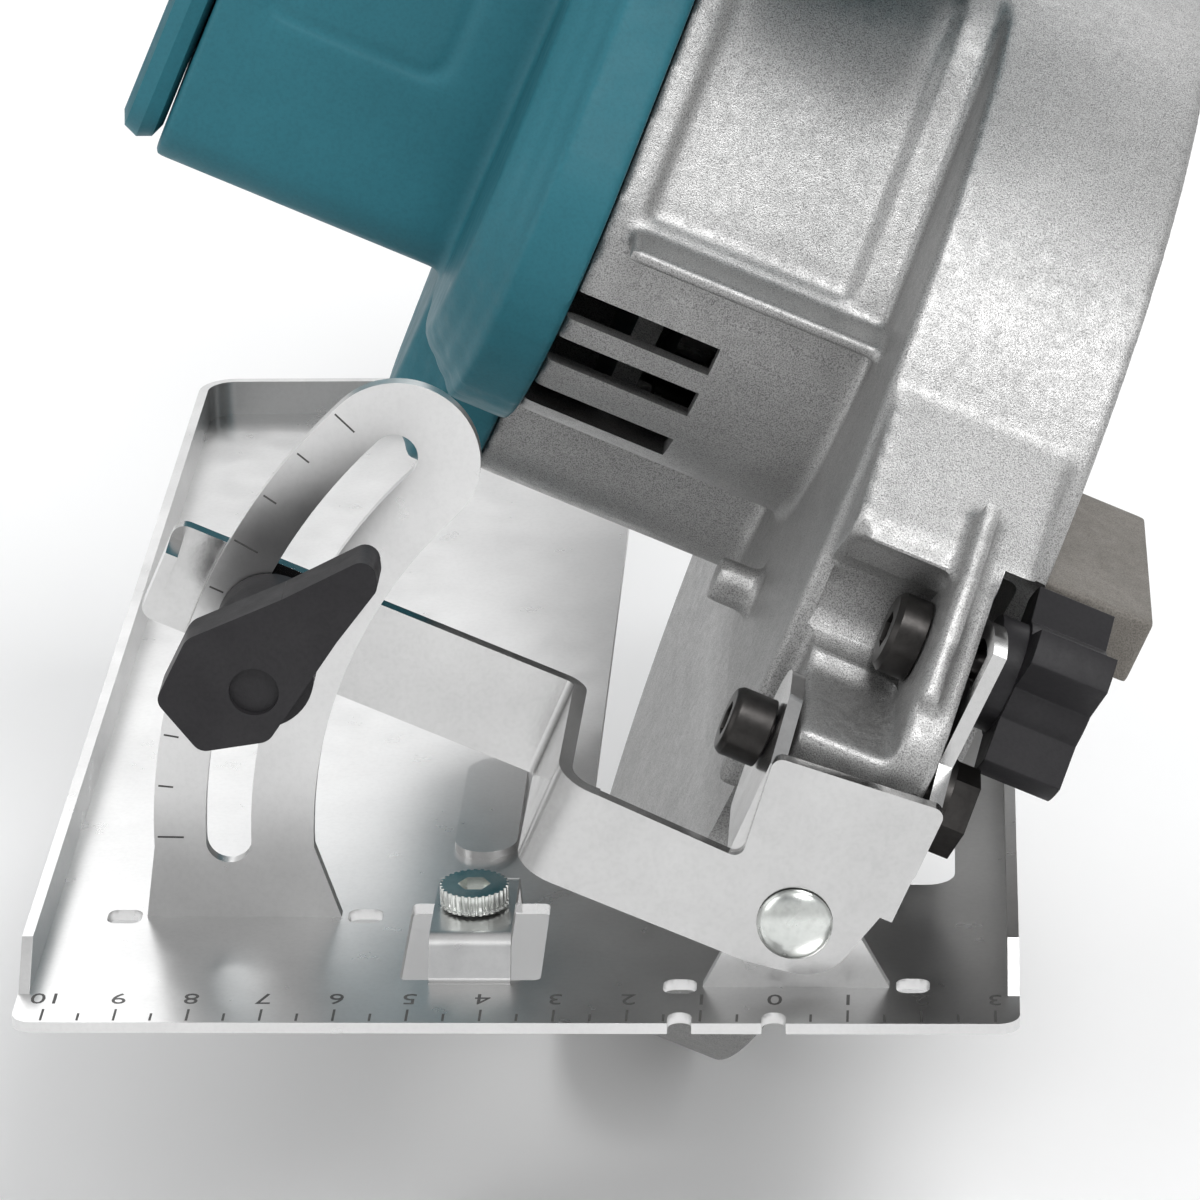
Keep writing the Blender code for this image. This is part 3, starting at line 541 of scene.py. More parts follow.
def figure(name, words, size, place):
    """Generic scale figure, as a thin mesh lying on the base."""
    text = bpy.data.curves.new(name, "FONT")
    text.body = words
    text.align_x = text.align_y = "CENTER"
    text.size = size * MM
    text.extrude = MARK_T / 2 * MM
    text.resolution_u = 3
    mesh = drawn(text)
    mesh.transform(Matrix.Translation((0, 0, 0.01 * MM)))
    mesh.transform(place)
    piece(name, "base", mesh, MARK, (), 0, 1, False)


def make_ruler_ticks():
    """A tick each half centimetre along the front edge, longer each centimetre."""
    half, near, far, short = 0.17, -119.4, -115.9, -117.2
    strips = []
    for half_cm in range(-7, 21):
        x = RULER_ZERO_X - 5.0 * half_cm
        if half_cm == 0 or abs(x) > BASE_W / 2 - 2:
            continue
        end = far if half_cm % 2 == 0 else short
        strips.append(([(x - half, near, SHEET), (x + half, near, SHEET),
                        (x + half, end, SHEET), (x - half, end, SHEET)], (0, 0, 1)))
    marks("ruler_ticks", strips)


def make_bevel_ticks():
    """A tick each five degrees on the quadrant, longer each fifteen."""
    strips = []
    for step in range(0, 46, 5):
        length = 4.2 if step % 15 == 0 else 2.6
        x0, z0 = quadrant_point(QUADRANT_OUT - length, step + 1)
        x1, z1 = quadrant_point(QUADRANT_OUT - 0.5, step + 1)
        across = Vector((z1 - z0, x0 - x1)).normalized() * 0.13
        strips.append(([(x0 - across.x, QUADRANT_Y, z0 - across.y),
                        (x0 + across.x, QUADRANT_Y, z0 + across.y),
                        (x1 + across.x, QUADRANT_Y, z1 + across.y),
                        (x1 - across.x, QUADRANT_Y, z1 - across.y)], (0, -1, 0)))
    marks("bevel_ticks", strips)


def make_ruler_figures():
    """Centimetres from the ruler's zero, read from behind the saw."""
    size, y = 4.6, -112.4
    for digit in range(-3, 11):
        x = RULER_ZERO_X - 10.0 * digit
        if abs(x) > BASE_W / 2 - 3:
            continue
        side = "right" if digit < 0 else "left"
        figure("ruler_%s%d" % (side, abs(digit)), str(abs(digit)), size,
               Matrix.Translation((x * MM, y * MM, SHEET * MM)) @ Matrix.Rotation(pi, 4, "Z"))


def make_fence_screw():
    knurl = toothed(FENCE_SCREW, 30, ((0.0, 4.5), (0.28, 4.5), (0.42, 4.8), (0.86, 4.8)))
    mesh = combine(slab([knurl], 7.6, 10.5), [
        ("+", slab([circle(FENCE_SCREW, 2.2)], 5.5, 8.0)),
        ("-", slab([circle(FENCE_SCREW, 2.3, 6)], 9.2, 13.0)),
        ("-", slab([circle(FENCE_SCREW, 6), circle(FENCE_SCREW, 4.6)], 8.0, 8.4))])
    piece("fence_screw_knurled", "fence_screw", mesh, ZINC, ["fence_clamp_screw"], 0.2, 2, False)


# Bevel carriage


def bracket_web():
    """The two folds and the web between the bracket's front plate and its arm."""
    front, left, right = BRACKET_Y + BRACKET_T, -38, -36
    arm_front, arm_back = ARM_Y
    folds = rounded([(-31.6, BRACKET_Y, 0), (-31.6, front, 0), (right, front, 3.2),
                     (right, arm_back, 3.0), (-42, arm_back, 0), (-42, arm_front, 0),
                     (left, arm_front, 1.0), (left, BRACKET_Y, 5.2)])
    above = [(-113, 6.41), (-83.5, 9.2), (-80, 12), (-113, 12)]
    below = [(-113, -10), (-80, -10), (-80, -5.8), (-83.5, -5.8), (-111, -8)]
    return combine(slab([folds], -8, 9.2, ALONG_Z), [
        ("-", slab([above], -45, -28, ALONG_A)), ("-", slab([below], -45, -28, ALONG_A))])


def make_bracket():
    front = BRACKET_Y + BRACKET_T
    outline = rounded([(-32, -8, 0), (-4, -8, 3), (7.2, -6.4, 7), (12.2, 13, 2), (12.2, 23.5, 1.5),
                       (-12.2, 21.5, 1.5), (-10.4, 5.8, 1.5), (-32, 6.6, 0)])
    arm = rounded([(-41.6, -5.8, 0), (-41.6, 9.2, 0), (-97.5, 9.2, 2), (-97.5, -5.8, 2)])
    ear = rounded([(front - 1, 5, 0), (-93, 5, 4), (-86.5, 12, 5), (-87, 27, 6), (-99, 26, 4),
                   (front - 1, 20, 0)])
    hinge_hole = circle(HINGE, HINGE_HOLE)
    knob_r = hypot(KNOB[0] - HINGE[0], KNOB[1] - HINGE[1])
    knob_turn = degrees(atan2(KNOB[1] - HINGE[1], KNOB[0] - HINGE[0]))
    first, last = knob_turn - 9, knob_turn + DEPTH_TRAVEL + 9
    sector = arc(HINGE, knob_r + 5.4, last + 8, first - 4, 9) + [(-88.0, 9.0), (-99.0, 7.0)]
    slot = arc(HINGE, knob_r + 2.9, first, last, 8) + arc(HINGE, knob_r - 2.9, last, first, 8)
    mesh = combine(slab([outline, circle((0, 0), PIVOT_HOLE)], BRACKET_Y, front, ALONG_Y), [
        ("+", bracket_web()),
        ("+", slab([arm[::-1], circle(CLAMP_BOLT, 3.4)], *ARM_Y, ALONG_Y)),
        ("+", bar((-97.5, -90, -2), (-95.7, -82, 7))),
        ("+", slab([ear, hinge_hole], -12.2, -10.2, ALONG_A)),
        ("+", slab([ear, hinge_hole], 10.2, 12.2, ALONG_A)),
        ("+", slab([sector[::-1], hinge_hole], 10.2, 12.2, ALONG_A)),
        ("-", slab([slot], 9.8, 12.8, ALONG_A)), ("-", disc(HINGE, HINGE_HOLE, 9.8, 12.8))])
    piece("bevel_bracket", "bevel_carriage", mesh, PLATED, ["front_bracket"], 0.7, 3)


def dome(centre, radius, height, y, outward):
    """Shallow rivet dome on a plane across the pivot."""
    shape = bmesh.new()
    bmesh.ops.create_uvsphere(shape, u_segments=48, v_segments=24, radius=radius * MM)
    bmesh.ops.scale(shape, vec=(1, height / radius, 1), verts=shape.verts)
    bmesh.ops.bisect_plane(shape, geom=shape.verts[:] + shape.edges[:] + shape.faces[:],
                           plane_co=(0, 0, 0), plane_no=(0, -outward, 0), clear_outer=True)
    bmesh.ops.holes_fill(shape, edges=[e for e in shape.edges if e.is_boundary])
    bmesh.ops.translate(shape, vec=Vector((centre[0], y, centre[1])) * MM, verts=shape.verts)
    bmesh.ops.recalc_face_normals(shape, faces=shape.faces)
    return mesh_of(shape, "dome")


def make_rivet(name, head_y, outward, long, node):
    """Rivet through the bevel pivot; outward is the side its head faces."""
    ends = sorted((head_y + outward * 0.2, head_y - outward * long))
    tail = sorted((head_y - outward * long, head_y - outward * (long + 1.6)))
    mesh = combine(dome((0, 0), 5.2, 2.2, head_y, outward), [
        ("+", slab([circle((0, 0), 3.0)], *ends, ALONG_Y)),
        ("+", slab([circle((0, 0), 4.6)], *tail, ALONG_Y))])
    piece(name, "bevel_carriage", mesh, ZINC, [node], 0.15, 2)


def make_hinge_bolt():
    mesh = combine(turned([(0, 16.4), (3.0, 16.4), (3.0, -12.5), (4.9, -12.5), (4.9, -17.6),
                           (4.3, -18.4), (0, -18.4)], HINGE),
                   [("-", disc(HINGE, 2.5, -19, -15.4, steps=6))])
    piece("hinge_bolt_detail", "bevel_carriage", mesh, BOLT, ["depth_hinge_bolt"], 0.25)
    nut = combine(slab([circle(HINGE, 6.6, 6), circle(HINGE, 3.3)], 13.4, 17.2, ALONG_A),
                  [("+", disc(HINGE, 6.7, 12.5, 13.5, 3.3))])
    piece("hinge_nut_detail", "bevel_carriage", nut, BOLT, ["depth_hinge_nut"], 0.3)


def make_depth_guide():
    low, high = -2.0, DEPTH_TRAVEL + 3.4
    slot_low, slot_high = 0.4, high - 1.4
    arc_loop = arc(HINGE, GUIDE_R + 6, low, high, 12) + arc(HINGE, GUIDE_R - 6, high, low, 12)
    slot = (arc(HINGE, GUIDE_R + 2.7, slot_low, slot_high, 10)
            + arc(HINGE, GUIDE_R - 2.7, slot_high, slot_low, 10))
    foot = rounded([(-19, -8, 0), (8, -8, 7.5), (8, 8, 7.5), (-19, 16, 0)])
    mesh = combine(slab([arc_loop, slot[::-1]], -19.0, -17.2, ALONG_A), [
        ("+", slab([foot, circle((0, 0), PIVOT_HOLE)], REAR_Y + 2.1, REAR_Y + 4.1, ALONG_Y))])
    piece("depth_guide_rear", "bevel_carriage", mesh, PLATED, ["rear_depth_guide"], 0.35)


def make_carriage():
    make_bracket()
    make_rivet("pivot_rivet_front", BRACKET_Y - GAP, -1, 4.9, "front_pivot_rivet")
    make_rivet("pivot_rivet_rear", REAR_Y + 4.4, 1, 4.9, "rear_pivot_rivet")
    make_hinge_bolt()
    make_depth_guide()


def make_bevel_lever():
    x, z = CLAMP_BOLT
    wings = rounded([(x - 11.7, z - 6.7, 2), (x - 3.5, z - 11.2, 2), (x + 4.5, z - 6, 2.5),
                     (x + 7.6, z + 11.3, 4), (x + 9.8, z + 20.5, 2), (x + 7.4, z + 25, 2),
                     (x - 1.5, z + 14, 5), (x - 11.2, z + 3.4, 3)])
    mesh = combine(slab([wings], -110.4, -103.6, ALONG_Y), [
        ("+", slab([circle((x, z), 7.6)], -105.0, -86.4, ALONG_Y)),
        ("-", slab([circle((x, z), 3.1)], -94.4, -86.0, ALONG_Y)),
        ("-", slab([circle((x, z), 3.4)], -111, -109.4, ALONG_Y))])
    piece("bevel_lever_moulded", "bevel_lever", mesh, BLACK, ["bevel_clamp_lever"], 0.9, 3)


# Saw body


def gear_case_shells(shrink, low, high):
    """Belts round the gear case's four circles, as overlapping slabs."""
    arbor, motor = (ARBOR, 17.0 - shrink), (MOTOR, 34.0 - shrink)
    shroud, head = (SHROUD, 31.0 - shrink), (HEAD, 27.0 - shrink)
    return [slab([hull(*one, *two)], low, high, ALONG_A)
            for one, two in ((shroud, motor), (shroud, head), (motor, head), (motor, arbor))]


def signed(sign, meshes):
    return [(sign, mesh) for mesh in meshes]


def nose_steps():
    """The nose that carries the depth clamp, and its blend into the case."""
    nose = rounded([(-105.4, 8.6, 9), (-105.4, 27.4, 9), (-88, 45, 8), (-66, 62, 0), (-50, 50, 0),
                    (-50, 3, 0), (-82, 3, 5)])
    shoulder = rounded([(-87.5, 46, 3), (-66, 62, 0), (-58, 52, 0), (-74, 36, 0), (-83, 44, 2)])
    return [("+", slab([nose[::-1]], -9.6, 9.6, ALONG_A)),
            ("+", slab([shoulder[::-1]], -12.0, 14.5, ALONG_A))]


def relief_steps(low):
    """The hollow and rib of the nose, and the raised lines of the case's outer face."""
    pocket = rounded([(-112, 24.5, 0), (-84, 24.5, 4), (-78, 30, 4), (-78, 39, 4), (-84, 46, 4),
                      (-112, 46, 0)])
    rib = [(-100, 31), (-102, 34), (-89.5, 48.2), (-80, 56), (-78, 50), (-90, 38)]
    crescent = arc(ARBOR, 87.5, low + 1, 179 - low, 24) + arc(ARBOR, 79, 179 - low, low + 1, 24)
    steps = [("-", slab([pocket], -11.0, 3.4, ALONG_A)), ("+", slab([rib], 3.6, 6.4, ALONG_A)),
             ("+", slab([crescent], 17.0, 18.7, ALONG_A))]
    steps += [("+", disc(polar(ARBOR, 70, turn), 5.0, 17.0, 18.9)) for turn in (40, 90, 140)]
    return steps + [("+", disc(ARBOR, 33, 17.0, 18.7, 27.5))]


def make_blade_case():
    low = degrees(asin((1.0 - ARBOR[1]) / CASE_R))
    inner = CASE_R - CASE_WALL
    hollow = arc(ARBOR, inner, 0, 180, 28) + [(ARBOR[0] - inner, -6), (ARBOR[0] + inner, -6)]
    panel = combine(bar((-51.5, -70, 61), (-19.5, -5, 112)),
                    signed("-", gear_case_shells(1.4, -60, -10)))
    steps = nose_steps() + signed("+", gear_case_shells(0.0, GEAR_LEFT, CASE_LEFT + 1))
    steps += [("-", panel), ("+", bar((-52, -48.5, 57.5), (-13, -30, 59.6))),
              ("+", disc((-32, 12), 3.4, -20, -12, steps=24)),
              ("-", slab([hollow], CASE_LEFT + 3.0, CASE_RIGHT - CASE_WALL, ALONG_A))]
    steps += signed("-", gear_case_shells(3.0, GEAR_LEFT - 1, -20.8))
    steps += [("-", disc(ARBOR, 13.3, -21.5, -13.2)), ("-", disc(ARBOR, 27, 14, 20))]
    outline = slab([arc(ARBOR, CASE_R, low, 180 - low, 32)], CASE_LEFT, CASE_RIGHT, ALONG_A)
    mesh = molten(combine(outline, steps + relief_steps(low)), rounds=7)
    trims = [("-", disc(ARBOR, 7.2, -14, -9)), ("-", bar((14.0, -70, -4), (20, 112, 8.0))),
             ("-", disc(HINGE, 27.5, 9.8, 20)), ("-", disc(KNOB, 14.8, 9.8, 21)),
             ("-", disc(HINGE, 3.4, -11, 11)), ("-", disc(KNOB, 7.4, -11, 3.4)),
             ("-", disc(KNOB, 2.9, 2, 11))]
    vents = ((48.0, -44.0), (40.0, -44.0), (30.0, -42.0))
    trims += [("-", slab([box_loop(front, front + 22, top - 4.6, top, 0.8)], -57, -34, ALONG_A))
              for top, front in vents]
    mesh = combine(mesh, trims, tidy=False)
    piece("case_casting", "saw_body", mesh, CAST, ["blade_case"], 0, smooth=42)


def motor_square(half):
    y, b = MOTOR
    return box_loop(y - half, y + half, b - half, b + half, 8)


def make_motor_housing():
    y, b = MOTOR
    front = y - MOTOR_HALF
    steps = signed("+", gear_case_shells(-2.5, -66.0, GEAR_LEFT - GAP))
    for i in range(6):  # a slope, in steps that the softening joins
        steps += signed("+", gear_case_shells(4.5 - i * 1.2, -72.5 + i * 1.2, -65.5))
    steps += [("-", slab([box_loop(-113, -83, 56.5, 76, 4)], front - 1, front + 1.0, ALONG_Y)),
              ("+", slab([box_loop(-111, -85, 58.5, 74, 3)], front + 0.4, front + 2, ALONG_Y))]
    mesh = combine(slab([motor_square(MOTOR_HALF)], MOTOR_LEFT, -70.0, ALONG_A), steps)
    trims = [("-", disc(MOTOR, 26.6, -114, -69)), ("-", disc(MOTOR, 9.0, -120, -112))]
    trims += signed("-", gear_case_shells(3.0, -69.5, GEAR_LEFT + 1))
    mesh = combine(molten(mesh), trims, tidy=False)
    piece("motor_shell", "saw_body", mesh, TEAL, ["motor_housing"], 0, smooth=42)
    mesh = slab([motor_square(MOTOR_HALF - 1.0)], -125.5, MOTOR_LEFT - GAP, ALONG_A)
    piece("motor_cap_shell", "saw_body", mesh, TEAL, ["motor_end_cap"], 3.2, 2)
    for name, dy in (("front", -23), ("rear", 23)):
        profile = [(0, -125.9), (3.4, -125.9), (3.4, -127.4), (2.2, -128.2), (0, -128.2)]
        mesh = combine(turned(profile, (y + dy, b)),
                       [("-", disc((y + dy, b), 1.3, -129, -127.2, steps=6))])
        piece("cap_screw_" + name, "saw_body", mesh, BOLT, ["end_cap_screw_" + name], 0.15)


def handle_loops(inset=0.0):
    """Outline and finger hole of the handle, moved inwards by an inset."""
    i = inset
    outer = rounded([(-44 + i, 111 + i, 5), (61 + i * 0.5, 111 + i, 2), (66 + i, 50 + i, 8),
                     (120 - i, 46 + i, 9), (128 - i, 54, 9), (128 - i, 118, 55),
                     (108 - i, 152 - i, 50), (50, 176 - i, 90), (0, 176 - i, 60),
                     (-28, 166 - i, 40), (-50 + i, 150 - i, 14), (-50 + i, 128, 14)])
    hole = rounded([(4 - i, 121 - i, 5), (6 - i, 143 + i, 8), (30, 147 + i, 8), (78, 138 + i, 10),
                    (98 + i, 120, 8), (84, 108 - i, 6), (66 + i, 116 - i, 6)])
    return [outer, hole]


def make_handle_half(side, way):
    """A moulded half and its grip pad; way is where its outer face looks along a."""
    skin, joint = HANDLE_A + way * HANDLE_HALF, HANDLE_A + way * 0.15
    outer, hole = handle_loops()
    inner_outer, inner_hole = handle_loops(HANDLE_WALL)
    inside = sorted((joint - way, skin - way * HANDLE_WALL))
    opening = bar((HANDLE_A - 5.2, 3, 134), (HANDLE_A + 5.2, 24, 150))
    steps = [("-", slab([inner_outer, inner_hole], *inside, ALONG_A)), ("-", opening)]
    if side == "left":
        steps.append(("-", disc(LOCK_OFF, 5.2, HANDLE_A - 18, HANDLE_A - 8)))
    for centre in HANDLE_SCREWS.values():
        steps.append(("-", disc(centre, 4.4, *sorted((skin - way * 1.6, skin + way)))))
    mesh = combine(slab([outer, hole], *sorted((joint, skin)), ALONG_A), steps)
    piece("handle_shell_" + side, "saw_body", mesh, TEAL, ["handle_" + side], 1.6, 4)
    grip = rounded([(-22, 150, 6), (-20, 168, 8), (50, 184, 20), (112, 158, 16), (96, 140, 8),
                    (70, 152, 8), (10, 156, 8)])
    low, high = sorted((skin - way * 0.6, skin + way * 0.55))
    pad = combine(slab([grip], low, high, ALONG_A), [
        ("-", disc(HANDLE_SCREWS["top"], 6.2, low - 1, high + 1)),
        ("-", disc(LOCK_OFF, 7.4, low - 1, high + 1))])
    around = [box_loop(-80, 180, 100, 230), inner_outer]
    pad = combine(pad, [("-", slab(around, low - 2, high + 2, ALONG_A))])
    piece("grip_pad_" + side, "saw_body", pad, RUBBER, (), 0.45, 2)


def make_handle():
    make_handle_half("right", 1)
    make_handle_half("left", -1)
    head, seat = HANDLE_A + HANDLE_HALF + 0.9, HANDLE_A + HANDLE_HALF - 1.1
    for name, centre in HANDLE_SCREWS.items():
        mesh = combine(turned([(0, head), (3.0, head), (3.0, seat), (0, seat)], centre),
                       [("-", disc(centre, 1.4, head - 1.1, head + 1.1, steps=6))])
        piece("grip_screw_" + name, "saw_body", mesh, BOLT, ["handle_screw_" + name], 0.15)


def make_knob():
    lobes = []
    for i in range(4):
        lobes += arc(KNOB, 14.0, 90 * i + 34, 90 * i + 56, 3)
        lobes += arc(KNOB, 8.6, 90 * i + 74, 90 * i + 106, 4)
    mesh = combine(slab([lobes], 16.6, 28.0, ALONG_A), [
        ("+", disc(KNOB, 8.0, 12.6, 17.0)), ("-", disc(KNOB, 2.8, 12, 24.4)),
        ("-", disc(KNOB, 5.2, 27.2, 29))])
    piece("depth_knob_moulded", "depth_knob", mesh, BLACK, ["depth_clamp_knob"], 0.8, 3)


def make_clamp_bolts():
    mesh = combine(turned([(0, 24.0), (2.5, 24.0), (2.5, 3.1), (5.8, 3.1), (5.8, -0.8),
                           (5.0, -1.6), (0, -1.6)], KNOB),
                   [("-", disc(KNOB, 2.7, -3, 1.4, steps=6))])
    piece("depth_bolt_detail", "saw_body", mesh, BOLT, ["depth_clamp_bolt"], 0.3)
    mesh = combine(slab([circle(CLAMP_BOLT, 2.8)], -94.0, -79.0, ALONG_Y), [
        ("+", slab([circle(CLAMP_BOLT, 5.6, 6)], -80.4, -77.4, ALONG_Y)),
        ("+", slab([circle(CLAMP_BOLT, 6.0)], -81.2, -80.2, ALONG_Y))])
    piece("bevel_bolt_detail", "bevel_carriage", mesh, BOLT, ["bevel_clamp_bolt"], 0.25)


def make_chip_block():
    block = bar((18.0, -67.6, 34), (35.0, -26, 44))
    # The block wears the darkened cast aluminium, whose dark tone is painted shade
    piece("chip_block", "saw_body", molten(block, 0.6, 6), SHADED_CAST, ["chip_deflector"], 0)


def make_guard():
    start, end = GUARD_START, GUARD_END
    outline = arc(ARBOR, GUARD_R, start, end, 30) + arc(ARBOR, 26, end, start + 360, 12)
    inside = (arc(ARBOR, GUARD_R - 1.5, start - 20, end + 20, 32)
              + arc(ARBOR, 40, end + 20, start + 340, 6))
    recess = arc(ARBOR, 78, start + 14, end - 8, 24) + arc(ARBOR, 44, end - 8, start + 14, 24)
    mesh = combine(slab([outline], -9.8, 12.4, ALONG_A), [
        ("-", slab([inside], -8.4, 11.0, ALONG_A)), ("-", disc(ARBOR, 18, -12, -7)),
        ("-", disc(ARBOR, 16, 9, 14)), ("-", disc(HINGE, 27.6, 9.7, 14)),
        ("-", slab([recess], 11.9, 14, ALONG_A))])
    piece("guard_casting", "guard", mesh, CAST, ["lower_guard"], 0.5, 3)


def lever_pair(reach):
    """The two edges of the guard lever at a distance from the arbor."""
    middle, half = polar(ARBOR, reach, GUARD_LEVER_TURN), 4.0
    return [polar(middle, half, GUARD_LEVER_TURN + side) for side in (-90, 90)]


def make_guard_lever():
    root, pad, tip = lever_pair(18.5), lever_pair(26.0), lever_pair(33.0)
    mesh = combine(disc(ARBOR, 20.8, 12.7, 22.4, 16.0), [
        ("+", slab([[root[0], tip[0], tip[1], root[1]]], 19.6, 22.0, ALONG_A)),
        ("+", slab([[pad[0], tip[0], tip[1], pad[1]]], 21.0, 28.0, ALONG_A))])
    piece("guard_lever_casting", "guard", mesh, CAST, ["guard_lever"], 0.5, 3)


def make_blade():
    low, high = BLADE_A - BLADE_T / 2 - 0.1, BLADE_A + BLADE_T / 2 - 0.1
    teeth = toothed(ARBOR, TEETH, ((0.0, 77.6), (0.16, 76.4), (0.34, 77.0), (0.44, 79.6),
                                   (0.52, 82.3), (0.62, 82.2), (0.86, 80.6)))
    slots = [hull(polar(ARBOR, 62, 90 * i + 20), 1.9, polar(ARBOR, 79, 90 * i + 26), 0.7, 3)
             for i in range(4)]
    mesh = combine(slab([teeth, circle(ARBOR, 5.1)], low + 0.15, high - 0.15, ALONG_A),
                   [("-", slab([slot], low - 1, high + 1, ALONG_A)) for slot in slots])
    piece("blade_plate", "spindle", mesh, STEEL, ["saw_blade"], 0)
    shape = bmesh.new()
    for i in range(TEETH):
        turn = 360 / TEETH * (i + 0.52)
        corners = [polar(ARBOR, radius, turn + shift) for radius, shift in (
            (77.4, -0.9), (82.45, -0.2), (82.35, 0.8), (77.6, 0.3))]
        add_prism(shape, [(low, y, b) for y, b in corners], [(high, y, b) for y, b in corners])
    bmesh.ops.recalc_face_normals(shape, faces=shape.faces)
    piece("carbide_tips", "spindle", mesh_of(shape, "tips"), CARBIDE, (), 0)


def make_arbor():
    mesh = disc(ARBOR, 15.0, -1.8, 0.8, 5.1)
    piece("flange_outer", "spindle", mesh, STEEL, ["outer_flange"], 0.4)
    mesh = combine(slab([circle(ARBOR, 7.5, 6)], 1.9, 6.6, ALONG_A), [
        ("+", disc(ARBOR, 8.6, 1.1, 2.0)), ("-", disc(ARBOR, 3.0, 4.4, 8, steps=6)),
        ("+", disc(ARBOR, 2.6, -17.4, 1.6, steps=24))])
    piece("arbor_bolt", "spindle", mesh, BOLT, ["blade_bolt"], 0.3)


def make_battery():
    left, right = HANDLE_A - BATTERY_HALF, HANDLE_A + BATTERY_HALF
    shell = rounded([(129, 32, 4), (170, 32, 8), (174, 60, 10), (174, 120, 8), (168, 136, 8),
                     (129, 136, 4)])
    steps = [("-", bar((HANDLE_A - 11, 152, 126.2), (HANDLE_A + 11, 176, 140)))]
    for b in (52, 66, 80, 94):
        groove = box_loop(138, 166, b, b + 5, 2.4)
        steps += [("-", slab([groove], left - 4, left + 1.4, ALONG_A)),
                  ("-", slab([groove], right - 1.4, right + 4, ALONG_A))]
    label = box_loop(HANDLE_A - 24, HANDLE_A + 24, 64, 112, 5)
    steps.append(("-", slab([label], 173.2, 176, ALONG_Y)))
    mesh = combine(slab([shell], left, right, ALONG_A), steps)
    piece("battery_shell", "battery", mesh, BLACK, ["battery_pack"], 1.8, 4)


def make_latch():
    grooves = [("-", bar((HANDLE_A - 7, y, 137.3), (HANDLE_A + 7, y + 1.2, 139)))
               for y in (155, 158, 161)]
    mesh = combine(bar((HANDLE_A - 10.5, 152.5, 128.5), (HANDLE_A + 10.5, 166, 138)), grooves)
    piece("latch_button", "latch", mesh, TEAL, ["battery_latch"], 0.6, 3)


def make_controls():
    blade = rounded([(4.6, 152, 2), (3.6, 146, 1), (8, 132, 2), (16, 129, 2), (21, 134, 2),
                     (23, 146, 1), (23, 149, 1), (8, 152, 2)])
    piece("trigger_moulded", "trigger", slab([blade], HANDLE_A - 4.8, HANDLE_A + 4.8, ALONG_A),
          BLACK, ["trigger"], 1.2, 4)
    mesh = disc(LOCK_OFF, 4.7, HANDLE_A - 19.5, HANDLE_A - 9)
    piece("lock_off_moulded", "lock_off", mesh, BLACK, ["lock_off_button"], 0.7, 3)


# CAD nodes that keep their own shape
for paint, names in (
        (STEEL, ("guide_pin", "motor_shaft", "rotor_core", "motor_pinion", "idler_shaft",
                 "idler_gear", "idler_pinion", "spindle", "spindle_gear", "inner_flange",
                 "spindle_bearing", "spindle_rear_bearing", "idler_bearing",
                 "motor_front_bearing", "motor_rear_bearing")),
        (COPPER, ("motor_stator",)), (BOARD, ("motor_controller",)), (CAST, ("bearing_plate",)),
        (BLACK, ("battery_terminal", "trigger_switch", "cooling_fan"))):
    for name in names:
        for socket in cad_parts[name].material_slots:
            socket.material = paint

make_base()
make_ruler_ticks()
make_bevel_ticks()
make_ruler_figures()
make_fence_screw()
make_carriage()
make_bevel_lever()
make_blade_case()
make_motor_housing()
make_handle()
make_knob()
make_clamp_bolts()
make_chip_block()
make_guard()
make_guard_lever()
make_blade()
make_arbor()
make_battery()
make_latch()
make_controls()


# Stage, light and camera


def make_stage():
    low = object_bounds()[0][2]
    shape = bmesh.new()
    bmesh.ops.create_grid(shape, x_segments=1, y_segments=1, size=6.0)
    bmesh.ops.translate(shape, vec=(0, 0, low - 0.0005), verts=shape.verts)
    floor = linked("floor", mesh_of(shape, "floor"))
    paint = bpy.data.materials.new("pale_floor")
    paint.use_nodes = True
    shader = paint.node_tree.nodes["Principled BSDF"]
    shader.inputs["Base Color"].default_value = (0.93, 0.93, 0.93, 1)
    shader.inputs["Roughness"].default_value = 0.9
    floor.data.materials.append(paint)


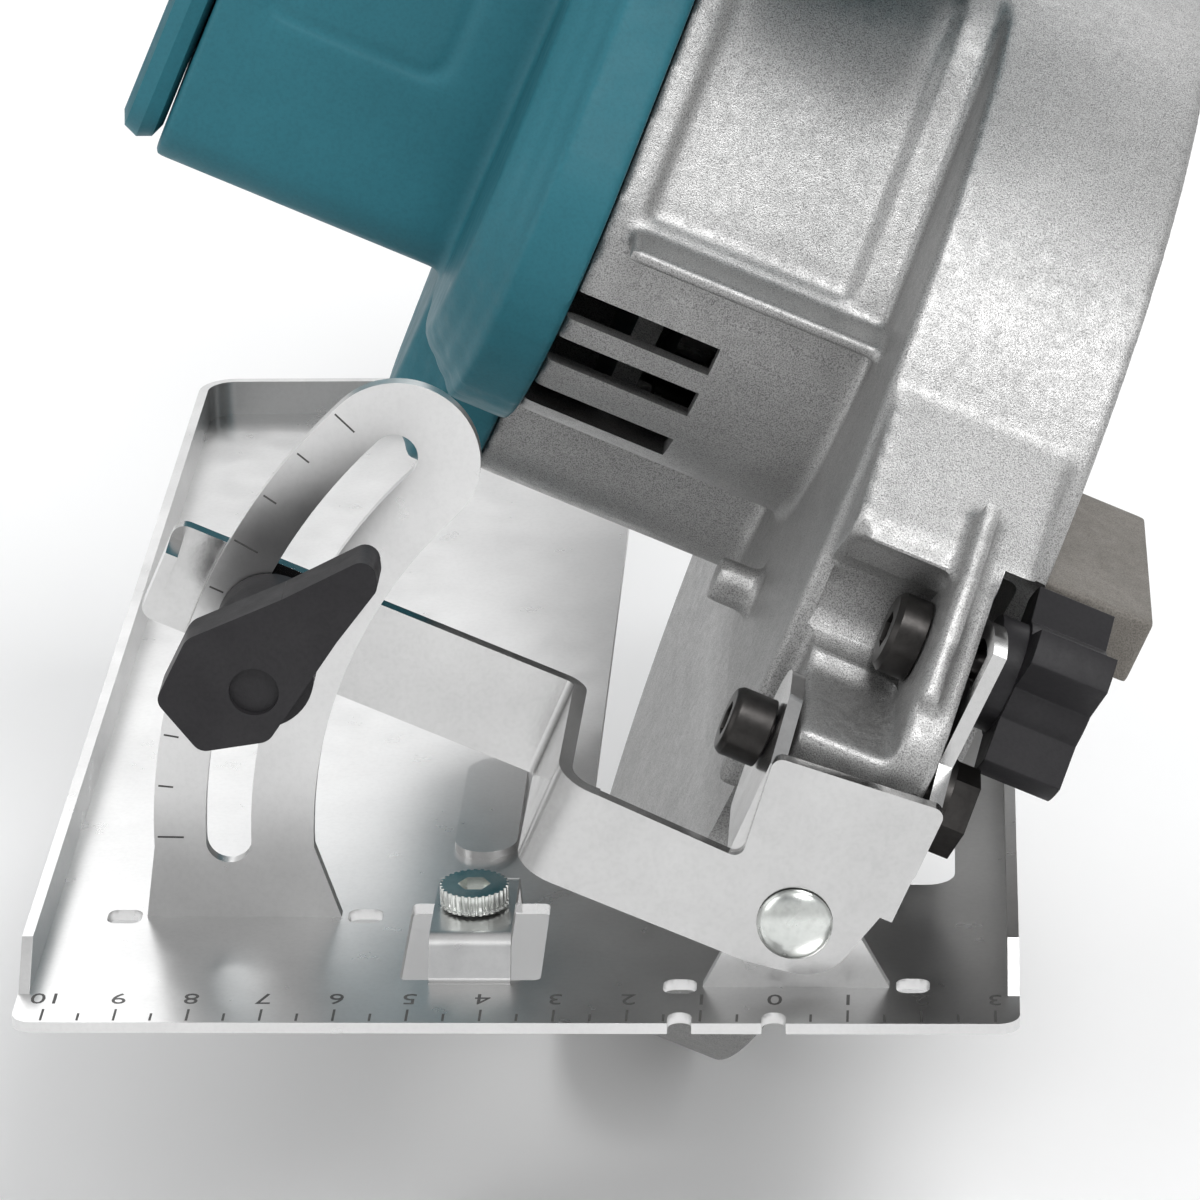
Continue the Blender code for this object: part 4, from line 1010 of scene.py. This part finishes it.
def lamp(name, place, aim, size, power, colour=(1, 1, 1)):
    data = bpy.data.lights.new(name, "AREA")
    data.shape, data.size, data.size_y = "RECTANGLE", size[0], size[1]
    data.energy, data.color = power, colour
    made = linked(name, data)
    made.location = place
    made.rotation_euler = (Vector(aim) - Vector(place)).to_track_quat("-Z", "Y").to_euler()


def make_light():
    world = bpy.data.worlds.new("studio")
    bpy.context.scene.world = world
    world.use_nodes = True
    tree = world.node_tree
    back = tree.nodes["Background"]
    place = tree.nodes.new("ShaderNodeTexCoord").outputs["Generated"]
    split = tree.nodes.new("ShaderNodeSeparateXYZ")
    tree.links.new(place, split.inputs["Vector"])
    tone = ramp(tree, split.outputs["Z"], [(0.0, (0.92, 0.92, 0.92)), (0.22, (1.0, 1.0, 1.0)),
                                           (0.5, (0.78, 0.79, 0.80)), (0.7, (0.35, 0.36, 0.37)),
                                           (1.0, (0.9, 0.9, 0.9))])
    tree.links.new(tone, back.inputs["Color"])
    back.inputs["Strength"].default_value = 0.80
    lamp("key", (0.42, -0.62, 1.0), (0.03, 0.0, 0.05), (0.6, 0.4), 9.0)
    lamp("fill", (-0.9, -0.5, 0.6), (0.0, 0.0, 0.06), (0.5, 0.8), 2.5)
    lamp("rim", (0.1, 0.9, 0.8), (0.0, 0.0, 0.08), (1.2, 0.5), 5.0)


def make_camera():
    data = bpy.data.cameras.new("camera")
    data.sensor_width, data.lens = 36.0, 185.59
    data.clip_start, data.clip_end = 0.05, 30.0
    eye = linked("camera", data)
    pitch, yaw, roll = radians(22.0), 0.061018, -0.024851
    forward = Vector((-sin(yaw) * cos(pitch), cos(yaw) * cos(pitch), -sin(pitch)))
    right = Vector((cos(yaw), sin(yaw), 0))
    up = right.cross(forward)
    side = right * cos(roll) + up * sin(roll)
    top = up * cos(roll) - right * sin(roll)
    place = Matrix((side, top, -forward)).transposed().to_4x4()
    place.translation = Vector((59.42, -874.33, 368.82)) * MM
    eye.matrix_world = place
    bpy.context.scene.camera = eye


make_stage()
make_light()
make_camera()
bpy.context.scene.view_settings.view_transform = "Standard"
